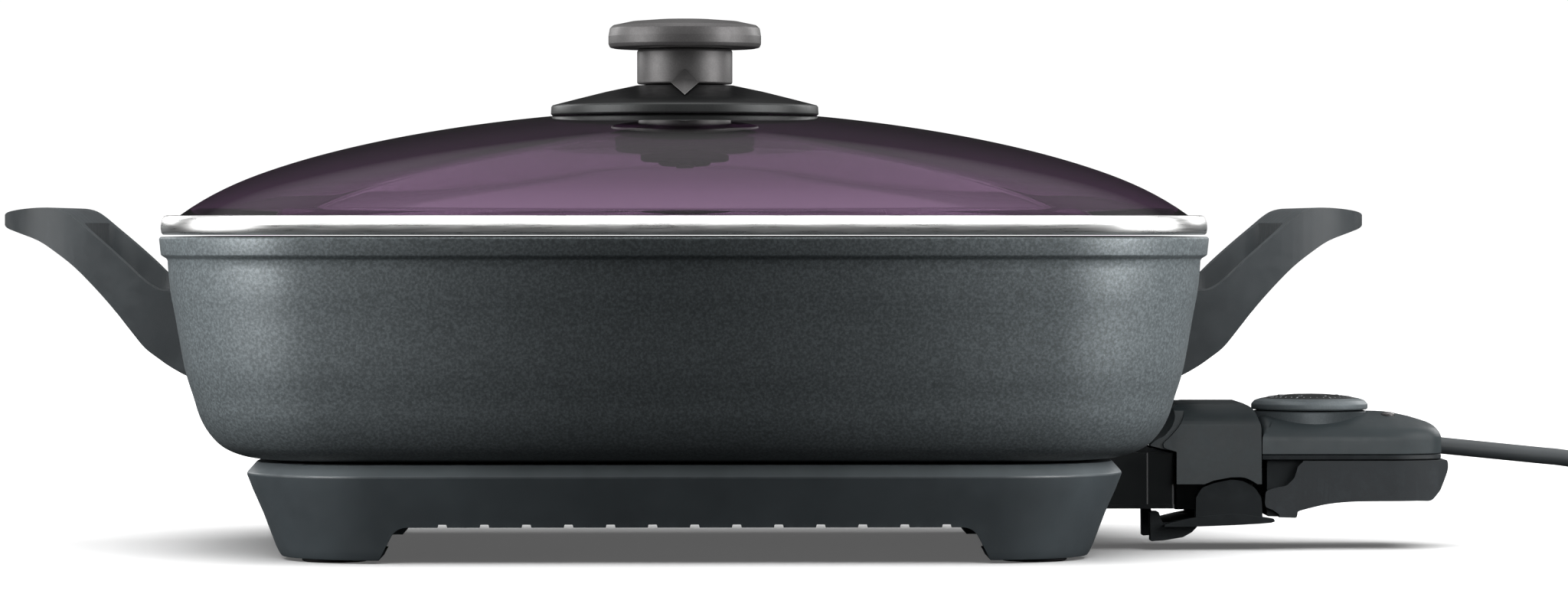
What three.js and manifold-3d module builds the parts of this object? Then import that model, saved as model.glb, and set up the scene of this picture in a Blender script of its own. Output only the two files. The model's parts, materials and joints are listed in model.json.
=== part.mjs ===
// Electric griddle: rectangular cast pan on a plastic base, two loop handles,
// glass lid with a turning vent knob, and a plug-in temperature controller with its cord.
// Millimetres, +Z up. The pan's centre is the working origin; the root group shifts the
// whole object so that its origin is the bottom centre of its box (without the cord).
import * as THREE from 'three';
import { mergeVertices } from 'three/addons/utils/BufferGeometryUtils.js';
import Module from 'manifold-3d';

const wasm = await Module();
wasm.setup();

// ---------------------------------------------------------------- driving dimensions
const RIM_HX = 190;            // lid rim half length
const RIM_HY = 150;            // lid rim half depth
const RIM_R = 55;              // lid rim corner radius
const PAN_LIP_Z = 118.3;       // top of the pan's lip
const PAN_FLOOR_Z = 41.3;      // cooking surface
const PAN_UNDER_Z = 36.8;      // underside of the pan
const HANDLE_TIP = 255.8;      // handle tip from the pan centre
const CTRL_END = 287.0;        // far end of the controller from the pan centre
const ORIGIN_X = (CTRL_END - HANDLE_TIP) / 2;
const BASE_TOP = { hx: 160.8, hy: 121, r: 46, z: 34.5 };
const BASE_FOOT = { hx: 148.8, hy: 109, r: 40, z: 1.2 };
const ARCH_Z = 13.4;
const FOOT = { x: 127.5, y: 88, r: 12.1, z: 0.9 };
const DOME_TOP = 166.1;
const GLASS_HX = 183.0, GLASS_HY = 143.0, GLASS_T = 4;
const DIAL_X = 237.8, DIAL_R = 22.15;
const ROD_Z = 26;              // height of sensor rod and terminal pins
const PIN_Y = 14;
const LEVER_Z = 19.6;          // height of the release lever's pin, 205 mm from the pan centre
const CORD_D = 6.5;
const CORD_EXIT = [287.4, 0, 38.6];
const CORD_SLOPE = Math.tan(5.6 * Math.PI / 180);
const COIL = { x: 420, y: 39.25, r1: 32.75, r2: 39.25, z: 1.2 };
const PLUG_Y = 88;
const GAP = 0.3;

// ---------------------------------------------------------------- helpers
function finish(geo) {
  let g = geo.clone();
  g.deleteAttribute('normal'); if (g.attributes.uv) g.deleteAttribute('uv');
  g.clearGroups();
  g = mergeVertices(g, 1e-4);
  // drop triangles that have collapsed, then face them outward
  const idx = Array.from(g.index.array), keep = [];
  for (let i = 0; i < idx.length; i += 3) {
    const [a, b, c] = [idx[i], idx[i + 1], idx[i + 2]];
    if (a !== b && b !== c && a !== c) keep.push(a, b, c);
  }
  const p = g.attributes.position.array;
  let vol = 0;
  for (let i = 0; i < keep.length; i += 3) {
    const a = keep[i] * 3, b = keep[i + 1] * 3, c = keep[i + 2] * 3;
    vol += p[a] * (p[b + 1] * p[c + 2] - p[b + 2] * p[c + 1])
      - p[a + 1] * (p[b] * p[c + 2] - p[b + 2] * p[c])
      + p[a + 2] * (p[b] * p[c + 1] - p[b + 1] * p[c]);
  }
  if (vol < 0) for (let i = 0; i < keep.length; i += 3) { const t = keep[i + 1]; keep[i + 1] = keep[i + 2]; keep[i + 2] = t; }
  g.setIndex(keep);
  return g;
}
function solid(geo) {
  const g = finish(geo);
  return new wasm.Manifold(new wasm.Mesh({
    numProp: 3, vertProperties: new Float32Array(g.attributes.position.array), triVerts: new Uint32Array(g.index.array),
  }));
}
function geoOf(m) {
  const k = m.getMesh();
  const g = new THREE.BufferGeometry();
  g.setAttribute('position', new THREE.BufferAttribute(new Float32Array(k.vertProperties), 3));
  g.setIndex(Array.from(k.triVerts));
  return g;
}
function rrect(hx, hy, r, z, n = 6, cx = 0, cy = 0) {
  const pts = []; r = Math.min(r, hx * 0.97, hy * 0.97);
  const c = [[hx - r, hy - r, 0], [-hx + r, hy - r, 90], [-hx + r, -hy + r, 180], [hx - r, -hy + r, 270]];
  for (const [x, y, a0] of c) for (let i = 0; i <= n; i++) {
    const a = (a0 + 90 * i / n) * Math.PI / 180;
    pts.push([cx + x + r * Math.cos(a), cy + y + r * Math.sin(a), z]);
  }
  return pts;
}
// rings of equal count, bottom to top on the outside; closed=true joins the last to the first
function loft(rings, closed = false) {
  const n = rings[0].length, pos = [], idx = [];
  for (const r of rings) for (const p of r) pos.push(...p);
  const m = rings.length, last = closed ? m : m - 1;
  for (let j = 0; j < last; j++) {
    const a = j * n, b = ((j + 1) % m) * n;
    for (let i = 0; i < n; i++) { const k = (i + 1) % n; idx.push(a + i, a + k, b + k, a + i, b + k, b + i); }
  }
  if (!closed) {
    const cap = (j, flip) => {
      const c = [0, 0, 0];
      for (const p of rings[j]) for (let q = 0; q < 3; q++) c[q] += p[q] / n;
      const ci = pos.length / 3; pos.push(...c);
      for (let i = 0; i < n; i++) { const k = (i + 1) % n; flip ? idx.push(ci, j * n + k, j * n + i) : idx.push(ci, j * n + i, j * n + k); }
    };
    cap(0, true); cap(m - 1, false);
  }
  const g = new THREE.BufferGeometry();
  g.setAttribute('position', new THREE.BufferAttribute(new Float32Array(pos), 3));
  g.setIndex(idx);
  return g;
}
const shapeOf = (pts) => new THREE.Shape(pts.map(([a, b]) => new THREE.Vector2(a, b)));
function prismZ(pts, z0, z1) {
  const g = new THREE.ExtrudeGeometry(shapeOf(pts), { depth: z1 - z0, bevelEnabled: false });
  g.translate(0, 0, z0); return g;
}
function prismY(ptsXZ, y0, y1) {
  const g = new THREE.ExtrudeGeometry(shapeOf(ptsXZ), { depth: y1 - y0, bevelEnabled: false });
  g.rotateX(Math.PI / 2); g.translate(0, y1, 0); return g;
}
function prismX(ptsYZ, x0, x1) {
  const g = new THREE.ExtrudeGeometry(shapeOf(ptsYZ), { depth: x1 - x0, bevelEnabled: false });
  g.applyMatrix4(new THREE.Matrix4().set(0, 0, 1, x0, 1, 0, 0, 0, 0, 1, 0, 0, 0, 0, 0, 1));
  return g;
}
function box(x0, x1, y0, y1, z0, z1) {
  const g = new THREE.BoxGeometry(x1 - x0, y1 - y0, z1 - z0);
  g.translate((x0 + x1) / 2, (y0 + y1) / 2, (z0 + z1) / 2); return g;
}
function lathe(profile, seg = 32, x = 0, y = 0) {
  const g = new THREE.LatheGeometry(profile.map(([r, z]) => new THREE.Vector2(r, z)), seg);
  g.rotateX(Math.PI / 2); g.translate(x, y, 0); return g;
}
function rod(r, x0, x1, y, z, seg = 16) {
  const g = new THREE.CylinderGeometry(r, r, x1 - x0, seg);
  g.rotateZ(Math.PI / 2); g.translate((x0 + x1) / 2, y, z); return g;
}
function post(r, z0, z1, x, y, seg = 16) {
  const g = new THREE.CylinderGeometry(r, r, z1 - z0, seg);
  g.rotateX(Math.PI / 2); g.translate(x, y, (z0 + z1) / 2); return g;
}
function tube(points, radius, sides, steps) {
  const path = new THREE.CatmullRomCurve3(points.map((p) => new THREE.Vector3(...p)), false, 'centripetal');
  const s = []; for (let i = 0; i < sides; i++) { const a = 2 * Math.PI * i / sides; s.push([radius * Math.cos(a), radius * Math.sin(a)]); }
  return new THREE.ExtrudeGeometry(shapeOf(s), { steps, bevelEnabled: false, extrudePath: path });
}

const root = new THREE.Group();
root.position.x = -ORIGIN_X;
const groups = {};
for (const n of ['pan_unit', 'lid', 'knob', 'controller', 'dial', 'lever', 'cord']) {
  groups[n] = new THREE.Group(); root.add(groups[n]);
}
function add(group, name, geo, color, roughness = 0.5, metalness = 0) {
  const g = geo instanceof wasm.Manifold ? geoOf(geo) : finish(geo);
  g.computeVertexNormals();
  const m = new THREE.Mesh(g, new THREE.MeshStandardMaterial({ color, roughness, metalness, flatShading: true }));
  m.name = name; groups[group].add(m);
}
const PLASTIC = 0x33383b, DARK = 0x1b1e20, STEEL = 0xc9cbcd, SLATE = 0x4a5153, RUBBER = 0x202224;

// ---------------------------------------------------------------- pan
// half length and height of the outer skin, from the floor's edge to the lip
const PAN_OUT = [[150, 36.8], [160, 38.1], [167.6, 41.2], [172.6, 46], [176.2, 52.3], [178.6, 60], [181.7, 70.7], [184.8, 88.6],
  [186.6, 98.6], [187.5, 108], [189.6, 111], [190.6, 118.3]];
const PAN_IN = [[186, 118.3], [184.2, 112], [182.6, 98], [180.8, 88], [177.6, 70], [174.4, 60], [171.5, 52.5], [167, 46.5], [160, 42.4], [150, PAN_FLOOR_Z]];
const panRing = (hx, z, grow = 0) => rrect(hx + grow, hx - 40 + grow, 55 - (190.6 - hx) * 0.55 + grow, z, 6);
const panOuter = (grow) => loft([...PAN_OUT.map(([hx, z]) => panRing(hx, z, grow)), panRing(190.6, 119, grow)]);
let pan = solid(loft([...PAN_OUT, ...PAN_IN].map(([hx, z]) => panRing(hx, z))));
const HSCREW = [[-1, -34], [-1, 34], [1, -34], [1, 34]];
const BSCREW = [[-138, -58], [-138, 58], [138, -58], [138, 58]];
for (const [s, y] of HSCREW) pan = pan.subtract(solid(rod(2.3, Math.min(s * 182.4, s * 190), Math.max(s * 182.4, s * 190), y, 84, 10)));
for (const [x, y] of BSCREW) pan = pan.subtract(solid(post(2.4, 30, 39.4, x, y, 10)));
add('pan_unit', 'pan', pan, SLATE, 0.45, 0.4);

// ---------------------------------------------------------------- heater and sensor pocket
const el = [];
const HE = { x: 108, y: 74, z: 32.6 };
el.push([143, -PIN_Y, ROD_Z], [132, -PIN_Y, ROD_Z], [124, -PIN_Y, ROD_Z + 1.2], [116, -PIN_Y, ROD_Z + 4.2], [107, -PIN_Y, HE.z], [94, -18, HE.z], [88, -34, HE.z], [98, -54, HE.z]);
for (let i = 0; i <= 4; i++) { const a = (-20 - 70 * i / 4) * Math.PI / 180; el.push([HE.x - 34 + 34 * Math.cos(a), -HE.y + 34 + 34 * Math.sin(a), HE.z]); }
el.push([0, -HE.y, HE.z]);
for (let i = 0; i <= 4; i++) { const a = (-90 - 90 * i / 4) * Math.PI / 180; el.push([-HE.x + 34 + 34 * Math.cos(a), -HE.y + 34 + 34 * Math.sin(a), HE.z]); }
const elAll = [...el, [-HE.x, 0, HE.z], ...el.slice().reverse().map(([x, y, z]) => [x, -y, z])];
add('pan_unit', 'heating_element', tube(elAll, 3.3, 8, 62), 0x8d8a86, 0.45, 0.8);
for (const [n, y] of [['near', -PIN_Y], ['far', PIN_Y]]) {
  add('pan_unit', 'terminal_pin_' + n, lathe([[0, 0], [1.6, 0], [2.4, 1.2], [2.4, 40], [0, 40]], 16).rotateY(-Math.PI / 2).translate(183.5, y, ROD_Z), STEEL, 0.25, 1);
}
const pocket = solid(rod(5, 112, 168, 0, ROD_Z, 20)).add(solid(box(114, 125, -2.5, 2.5, ROD_Z + 3, PAN_UNDER_Z - GAP)))
  .subtract(solid(rod(3.3, 116, 169, 0, ROD_Z, 16)));
add('pan_unit', 'sensor_pocket', pocket, 0x9b9da0, 0.4, 0.8);

// ---------------------------------------------------------------- base, feet, screws
const baseOut = loft([rrect(BASE_FOOT.hx, BASE_FOOT.hy, BASE_FOOT.r, BASE_FOOT.z, 6), rrect(154.6, 114.8, 43, 17, 6),
  rrect(BASE_TOP.hx, BASE_TOP.hy, BASE_TOP.r, BASE_TOP.z, 6), rrect(158.6, 118.8, 45, 36.2, 6)]);
const baseIn = loft([rrect(146, 106, 37, 5, 6), rrect(156, 116, 42, 31, 6)]);
let base = solid(baseOut).subtract(solid(baseIn)).subtract(solid(prismZ(rrect(126, 92, 30, 0, 5), 25, 40)));
const arch = (h, w0, w1) => {
  const p = [[-w1, -2]]; p.push([w1, -2], [w1, 1.2]);
  for (let i = 1; i <= 5; i++) { const a = i / 5 * Math.PI / 2; p.push([w1 - (w1 - w0) * Math.sin(a), 1.2 + (h - 1.2) * (1 - Math.cos(a))]); }
  for (let i = 5; i >= 1; i--) { const a = i / 5 * Math.PI / 2; p.push([-w1 + (w1 - w0) * Math.sin(a), 1.2 + (h - 1.2) * (1 - Math.cos(a))]); }
  p.push([-w1, 1.2]); return p;
};
base = base.subtract(solid(prismY(arch(ARCH_Z, 102.7, 113.5), -140, 140)));
base = base.subtract(solid(prismX(arch(ARCH_Z, 62, 72), -180, 180)));
base = base.subtract(solid(box(140, 175, -28.4, 28.4, 15.4, 36.5 - 0.0)));          // window for the socket guard
for (const [x, y] of BSCREW) base = base.subtract(solid(post(2.3, 25, 40, x, y, 10)));
add('pan_unit', 'base', base, PLASTIC, 0.55, 0);
let q = 0;
for (const [x, y, n] of [[-FOOT.x, -FOOT.y, 'left_near'], [-FOOT.x, FOOT.y, 'left_far'], [FOOT.x, -FOOT.y, 'right_near'], [FOOT.x, FOOT.y, 'right_far']])
  add('pan_unit', 'foot_pad_' + n, post(FOOT.r, 0, FOOT.z, x, y, 24), RUBBER, 0.8, 0);
for (const [x, y] of BSCREW)
  add('pan_unit', 'base_screw_' + (++q), lathe([[0, 28.3], [3.4, 28.3], [4, 28.9], [4, 30.7], [2, 30.7], [2, 39], [0, 39]], 12, x, y), 0x8a8c8e, 0.35, 1);

// socket guard: a neck under the pan's right end that shields the pins
let guard = solid(box(150, 184.5, -28, 28, 15.8, 36)).subtract(solid(box(154, 186, -24, 24, 18.4, 33.4)))
  .subtract(solid(rod(5.3, 148, 156, 0, ROD_Z, 16))).subtract(solid(rod(2.7, 148, 156, -PIN_Y, ROD_Z, 12))).subtract(solid(rod(2.7, 148, 156, PIN_Y, ROD_Z, 12)));
guard = guard.subtract(solid(panOuter(GAP)));
add('pan_unit', 'socket_guard', guard, DARK, 0.6, 0);

// ---------------------------------------------------------------- handles
const H_LOW = [[180, 65.8], [183.7, 67], [189.6, 70.3], [194.3, 73.6], [199, 77.3], [203.7, 83], [210.7, 91.9], [217.7, 99.8], [224.8, 106.9], [231.8, 112.3],
  [238.8, 116.7], [247.3, 119.7], [253.2, 121.6], [255.8, 124.3]];
const H_TOP = [[254.4, 126.4], [251, 127.6], [244, 128.7], [233.2, 129], [230.4, 128.4], [226.6, 126.3], [221, 121.6], [213, 114.8], [206, 108.5], [201.3, 103.6],
  [196.6, 100.1], [192.9, 98.5], [180, 98]];
const H_W = 64;
const hPlan = [[176, -H_W], [216, -H_W + 1]];
for (let i = 1; i <= 7; i++) { const a = (-90 + 90 * i / 7) * Math.PI / 180; hPlan.push([216 + 38 * Math.cos(a), -H_W + 1 + 36 + 36 * Math.sin(a)]); }
hPlan.push([HANDLE_TIP, -12], [HANDLE_TIP, 12]);
for (let i = 0; i <= 7; i++) { const a = (90 * i / 7) * Math.PI / 180; hPlan.push([216 + 38 * Math.cos(a), H_W - 1 - 36 + 36 * Math.sin(a)]); }
hPlan.push([176, H_W]);
let handle = solid(prismY([...H_LOW, ...H_TOP], -H_W - 2, H_W + 2)).intersect(solid(prismZ(hPlan, 50, 140)))
  .subtract(solid(prismZ(rrect(14.5, 54, 11, 0, 4, 208.5, 0), 50, 140))).subtract(solid(panOuter(GAP)));
for (const y of [-34, 34]) handle = handle.subtract(solid(rod(2.3, 180, 200, y, 84, 10))).subtract(solid(rod(4.5, 191.6, 200, y, 84, 12)));
add('pan_unit', 'handle_right', handle, PLASTIC, 0.5, 0);
add('pan_unit', 'handle_left', handle.rotate([0, 0, 180]), PLASTIC, 0.5, 0);
q = 0;
for (const [s, y] of HSCREW) {
  const g = lathe([[0, 0], [2, 0], [2, 8.8], [4, 8.8], [4, 10.2], [3.3, 11], [0, 11]], 12).rotateY(Math.PI / 2).translate(182.8, 0, 0);
  if (s < 0) g.rotateZ(Math.PI);
  add('pan_unit', 'handle_screw_' + (++q), g.translate(0, y, 84), 0x8a8c8e, 0.35, 1);
}

// ---------------------------------------------------------------- lid
const rimRing = (d, z) => rrect(RIM_HX - d, RIM_HY - d, RIM_R - d, z, 6);
add('lid', 'lid_rim', loft([rimRing(0.9, 119), rimRing(0, 119.9), rimRing(0, 125.4), rimRing(0.6, 126), rimRing(6.6, 126), rimRing(6.6, 125.1), rimRing(1.2, 125.1),
  rimRing(1.2, 120), rimRing(6.6, 120), rimRing(6.6, 119)], true), 0xd8d9da, 0.15, 1);
const domeZ = (x) => DOME_TOP - 8.98e-4 * x * x - 2.1e-13 * x ** 6 - Math.max(0, x - 150) ** 3 * 5.8e-5;
const sm = (a, b, x) => { const t = Math.min(1, Math.max(0, (x - a) / (b - a))); return t * t * (3 - 2 * t); };
function domeRing(u, dz) {
  const X = GLASS_HX * u, w = sm(0.25, 1, u), Y = X * (1 - (1 - GLASS_HY / GLASS_HX) * w);
  return rrect(X, Y, Math.min(X, Y) * (1 - w) + 48 * w, domeZ(X) + dz, 6);
}
const US = [0.042, 0.16, 0.28, 0.4, 0.52, 0.63, 0.73, 0.82, 0.9, 0.955, 1];
const glassRings = [...US.map((u) => domeRing(u, -GLASS_T)), rimRing(4, 120.5), rimRing(1.7, 120.5), rimRing(1.7, 124.7), rimRing(7.0, 124.7), ...US.slice().reverse().map((u) => domeRing(u, 0))];
// under the glass the rings run outward, above it they run back to the hole
glassRings[10] = rimRing(7.5, 120.9);
add('lid', 'lid_glass', loft(glassRings, true), 0x5d4260, 0.08, 0);
add('lid', 'knob_collar', lathe([[6.05, 166.5], [30, 165.75], [50.85, 164.2], [50.15, 168], [18.6, 175.6], [6.05, 175.6], [6.05, 166.5]], 40), 0x17191a, 0.4, 0);
add('lid', 'lid_gasket', lathe([[8, 158.9], [26.5, 158.9], [26.5, 160.9], [22, 161.4], [8, 161.6], [8, 158.9]], 24), 0x161616, 0.8, 0);
add('lid', 'vent_plate', lathe([[6.05, 152], [16.2, 152], [16.75, 152.6], [16.75, 156.2], [16, 156.8], [11, 156.8], [11, 158.5], [6.05, 158.5], [6.05, 152]], 24), 0x141515, 0.4, 0);

// ---------------------------------------------------------------- vent knob
add('knob', 'knob_stem', lathe([[2.8, 151.7], [5.98, 151.7], [5.98, 176], [18.1, 176], [18.1, 189.2], [2.8, 189.2], [2.8, 151.7]], 32), 0x6f6c69, 0.4, 0.1);
add('knob', 'knob_cap', lathe([[0, 189.5], [27, 189.5], [28.6, 190.2], [29.05, 191.4], [28.5, 194], [28.9, 197.2], [27.8, 198.5], [20, 200.1], [10, 200.7], [0, 200.8]], 36), 0x6f6c69, 0.4, 0.1);
add('knob', 'knob_pointer', solid(prismY([[-5.2, 176.3], [0, 171.6], [5.2, 176.3], [0, 181.2]], -20.6, -18.5)).subtract(solid(post(18.4, 160, 190, 0, 0, 32)))
  .subtract(solid(lathe([[0, 160], [52.3, 160], [52.3, 167.8], [18.6, 176.0], [0, 176.0], [0, 160]].reverse(), 40))), 0x8d8b88, 0.4, 0.2);
const shutter = solid(lathe([[2.8, 149.3], [10, 149.3], [10, 151.4], [2.8, 151.4], [2.8, 149.3]], 24));
let sh = shutter;
for (let i = 0; i < 6; i++) { const a = i * Math.PI / 3; sh = sh.subtract(solid(post(1.5, 148, 153, 7.2 * Math.cos(a), 7.2 * Math.sin(a), 8))); }
add('knob', 'vent_shutter', sh, 0x151515, 0.4, 0);
add('knob', 'knob_screw', lathe([[0, 146.6], [3.4, 146.6], [4, 147.2], [4, 149], [2.5, 149], [2.5, 186], [0, 186]], 14), STEEL, 0.3, 1);

// ---------------------------------------------------------------- controller
// hood: the front shroud over the contacts, its face follows the pan's corner
const hoodSide = [[187.6, 25], [186.6, 33], [187.4, 40], [189.4, 48], [190.6, 53.6], [192.6, 55.4], [210, 55.7], [214.4, 53.4], [217, 47], [217, 25]];
let hood = solid(prismY(hoodSide, -27, 27)).subtract(solid(box(185, 215, -24.6, 24.6, 20, 53)))
  .subtract(solid(panOuter(GAP))).subtract(solid(box(180, 185, -30, 30, 10, 60)));
hood = hood.subtract(solid(box(213, 218, -18.8, 18.8, 21.6, 48)));
add('controller', 'controller_hood', hood, 0x3d4245, 0.5, 0);
const topSide = [[217.3, 36.2], [286.6, 36.2], [286.5, 42], [285.3, 45], [281.8, 47.5], [275.6, 49.7], [267.8, 51.6], [258, 51.9], [217.3, 51.9]];
const topIn = [[219.3, 36], [284.4, 36], [284.2, 42], [281, 45.2], [275, 47.6], [267, 49.4], [219.3, 49.7]];
const planCtl = [[217.3, -27], [270, -27], [279, -24.5], [284.6, -18], [286.7, -8], [286.7, 8], [284.6, 18], [279, 24.5], [270, 27], [217.3, 27]];
const planIn = [[219.3, -25], [269, -25], [277.6, -22.6], [282.8, -17], [284.6, -8], [284.6, 8], [282.8, 17], [277.6, 22.6], [269, 25], [219.3, 25]];
let top = solid(prismY(topSide, -30, 30)).intersect(solid(prismZ(planCtl, 30, 60)))
  .subtract(solid(prismY(topIn, -30, 30)).intersect(solid(prismZ(planIn, 30, 60))));
top = top.subtract(solid(rod(3.9, 280, 290, 0, 38.6, 16))).subtract(solid(post(3.1, 48, 54, DIAL_X, 0, 20)))
  .subtract(solid(box(215, 221, -16, 16, 36, 48)));
top = top.subtract(solid(post(2.75, 45, 55, 266.5, -10, 14)));
add('controller', 'housing_top', top, 0x3d4245, 0.5, 0);
let bottom = solid(prismZ(planCtl, 34.2, 35.9)).add(solid(prismZ(planIn, 19.6, 34.4))).subtract(solid(prismZ(planCtl.map(([x, y]) => [x === 217.3 ? 219.3 + 1.5 : x - 4, y * 0.85]), 21.6, 36)))
  .subtract(solid(rod(3.9, 279, 290, 0, 38.6, 16))).subtract(solid(box(215, 222, -18.8, 18.8, 21.6, 34)));
for (const y of [-17, 17]) bottom = bottom.subtract(solid(post(1.7, 18, 24, 262, y, 10)));
add('controller', 'housing_bottom', bottom, 0x34393c, 0.55, 0);
// grip: matte boot around the lower housing, with a short foot at its front
const gripSide = [[224, 33.9], [222.6, 29], [219.6, 26], [218, 22.6], [222, 12.2], [230, 11.9], [230.4, 14.6], [236, 16.4], [246, 18.2], [258, 18.4], [278, 18.6], [281.5, 21.2], [286.6, 31.4], [286.4, 33.9]];
let grip = solid(prismY(gripSide, -27, 27)).intersect(solid(prismZ(planCtl, 5, 40)))
  .subtract(solid(prismZ(planIn.map(([x, y]) => [x < 220 ? 210 : x + 0.35, y + Math.sign(y) * 0.35]), 19.3, 40)));
for (const y of [-17, 17]) grip = grip.subtract(solid(post(3.3, 10, 21, 262, y, 12)));
grip = grip.subtract(solid(box(200, 219.6, -24, 24, 5, 21)));
add('controller', 'grip_pad', grip, 0x2a2d2f, 0.75, 0);
q = 0;
for (const y of [-17, 17])
  add('controller', 'housing_screw_' + (++q), lathe([[0, 18.5], [2.6, 18.5], [3, 18.8], [3, 19.3], [1.4, 19.3], [1.4, 25], [0, 25]], 10, 262, y), 0x8a8c8e, 0.35, 1);
add('controller', 'sensor_rod', lathe([[0, 0], [2, 0], [3.0, 1.6], [3.0, 98], [0, 98]], 16).rotateY(Math.PI / 2).translate(122, 0, ROD_Z), STEEL, 0.25, 1);
for (const [n, y] of [['near', -PIN_Y], ['far', PIN_Y]])
  add('controller', 'contact_sleeve_' + n, solid(rod(4, 168, 228, y, ROD_Z, 16)).subtract(solid(rod(2.55, 167, 190, y, ROD_Z, 16))), 0xb5894a, 0.35, 1);
add('controller', 'thermostat_block', solid(box(222.6, 250, -9, 9, 24, 44)).subtract(solid(box(240, 252, -10, 10, 22, 30))), 0xc9c2b0, 0.6, 0);
let tblock = solid(box(252.5, 263, -14.5, 14.5, 22, 33));
for (const y of [-9, 0, 9]) tblock = tblock.subtract(solid(post(2.2, 29, 34, 257.6, y, 10)));
add('controller', 'terminal_block', tblock, 0xd6d0c0, 0.6, 0);
add('controller', 'indicator_lens', post(2.55, 48.6, 51.7, 266.5, -10, 16), 0x8a2a22, 0.2, 0);
add('controller', 'indicator_lamp', lathe([[0, 40], [2, 40], [2, 46.2], [1.2, 47.8], [0, 48.2]], 12, 266.5, -10), 0xd9a070, 0.2, 0);
// strain relief: tapered bush held in the housing's end
const relief = solid(lathe([[CORD_D / 2 + 0.05, 0], [3.6, 0], [3.6, 4.6], [5.2, 4.6], [5.2, 7], [4.6, 9], [4.0, 22], [CORD_D / 2 + 0.05, 22], [CORD_D / 2 + 0.05, 0]].map(([r, z]) => [r, -z]), 18).rotateY(Math.PI / 2).translate(287.0, 0, 38.6));
add('controller', 'strain_relief', relief, 0x2b2e30, 0.7, 0);

// dial
add('dial', 'dial_ring', lathe([[18.2, 52.4], [21.4, 52.4], [22.15, 53.2], [22.15, 55.4], [21.2, 56.6], [19.6, 57], [18.2, 56.4], [18.2, 52.4]], 40, DIAL_X, 0), 0x6b7276, 0.4, 0.3);
add('dial', 'dial_disc', lathe([[3.05, 52.6], [17.9, 52.6], [17.9, 56.8], [14, 57.7], [7, 58.15], [3.05, 58.2], [3.05, 52.6]], 36, DIAL_X, 0), 0x1d2022, 0.4, 0);
add('dial', 'dial_spindle', lathe([[0, 44.4], [4.6, 44.4], [4.6, 46.2], [3, 46.2], [3, 57.9], [0, 57.9]], 20, DIAL_X, 0), STEEL, 0.35, 1);

// release lever: half-round cheeks below the hood, bottom wing, two hooks reaching under the guard
const cheek = [[192.2, 13.8], [192.4, 20], [194.6, 23.6], [199.2, 25.4], [205.4, 26.7], [210, 26.5], [214.4, 23.9], [216.6, 20.2], [217.3, 13.8]];
const wing = [[187.2, 11.9], [193, 13.2], [202.8, 13.9], [211.2, 13.9], [217.6, 12.6], [217.6, 11.0], [216, 10.2], [206.8, 9.4], [193, 9.2], [184.5, 7.4], [181.6, 4.2], [175.4, 3.6], [175.2, 14.6],
  [178.4, 14.6], [179.6, 10.4], [183.6, 11.2]];
let lever = solid(prismY(cheek, -23.8, -20.8)).add(solid(prismY(cheek, 20.8, 23.8))).add(solid(prismY(wing.slice(0, 10).concat([[184.5, 11.6]]), -23.8, 23.8)))
  .add(solid(prismY([...wing], -23.8, -15.8))).add(solid(prismY([...wing], 15.8, 23.8)));
lever = lever.subtract(solid(box(190, 219, -20.8, 20.8, 11.8, 30)));
const pinAxis = (r, y0, y1, x, z, seg = 14) => { const g = new THREE.CylinderGeometry(r, r, y1 - y0, seg); g.translate(x, (y0 + y1) / 2, z); return g; };
lever = lever.subtract(solid(pinAxis(2.05, -30, 30, 205, LEVER_Z)));
add('lever', 'release_lever', lever, 0x3a3f42, 0.5, 0);
let carrier = solid(box(196, 214.5, -20.2, 20.2, 27.6, 31.4)).subtract(solid(rod(4.4, 190, 220, -PIN_Y, ROD_Z, 16))).subtract(solid(rod(4.4, 190, 220, PIN_Y, ROD_Z, 16)))
  .add(solid(prismY([[201.6, 16.4], [208.4, 16.4], [208.4, 28], [201.6, 28]], -20.2, -18.6))).add(solid(prismY([[201.6, 16.4], [208.4, 16.4], [208.4, 28], [201.6, 28]], 18.6, 20.2)))
  .subtract(solid(pinAxis(2.05, -30, 30, 205, LEVER_Z))).subtract(solid(rod(3.3, 190, 220, 0, ROD_Z, 16)));
add('controller', 'contact_carrier', carrier, 0x26292b, 0.6, 0);
add('controller', 'lever_pin', pinAxis(1.98, -23.6, 23.6, 205, LEVER_Z), STEEL, 0.3, 1);
add('controller', 'lever_spring', lathe([[1.6, 12.1], [2.6, 12.1], [2.6, 27.3], [1.6, 27.3], [1.6, 12.1]], 12, 211, 6.6), 0x9a9da0, 0.35, 1);

// ---------------------------------------------------------------- cord, coil, tie, plug
const lead = [];
for (const d of [0, 16, 32, 48.6]) lead.push([CORD_EXIT[0] + d, 0, CORD_EXIT[2] - d * CORD_SLOPE - (d > 40 ? 0.2 : 0)]);
const LAND = [COIL.x - 16, 0, COIL.z + CORD_D / 2 + 0.1];
for (let i = 1; i <= 8; i++) {
  const t = i / 8, x0 = 336, z0 = 33.6, x = x0 + (LAND[0] - x0) * t;
  lead.push([x, 0, z0 + (LAND[2] - z0) * (t * t * (3 - 2 * t)) + (x - x0) * (1 - t) * (1 - t) * -0.1]);
}
const cut = lead.filter(([x]) => x < COIL.x - 26);
cut.push([COIL.x - 25, 0, LAND[2] + 0.25]);
const cordFrom = CORD_EXIT[0] + GAP; cut[0] = [cordFrom, 0, CORD_EXIT[2]];
add('cord', 'cord', tube(cut, CORD_D / 2, 12, 18), 0x2c2f31, 0.6, 0);
add('cord', 'cord_coil', lathe([[COIL.r1 - 3.4, COIL.z], [COIL.r2 + 3.4, COIL.z], [COIL.r2 + 3.4, COIL.z + 13.2], [COIL.r1 - 3.4, COIL.z + 13.2], [COIL.r1 - 3.4, COIL.z]], 40, COIL.x, COIL.y), 0x2c2f31, 0.6, 0);
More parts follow.
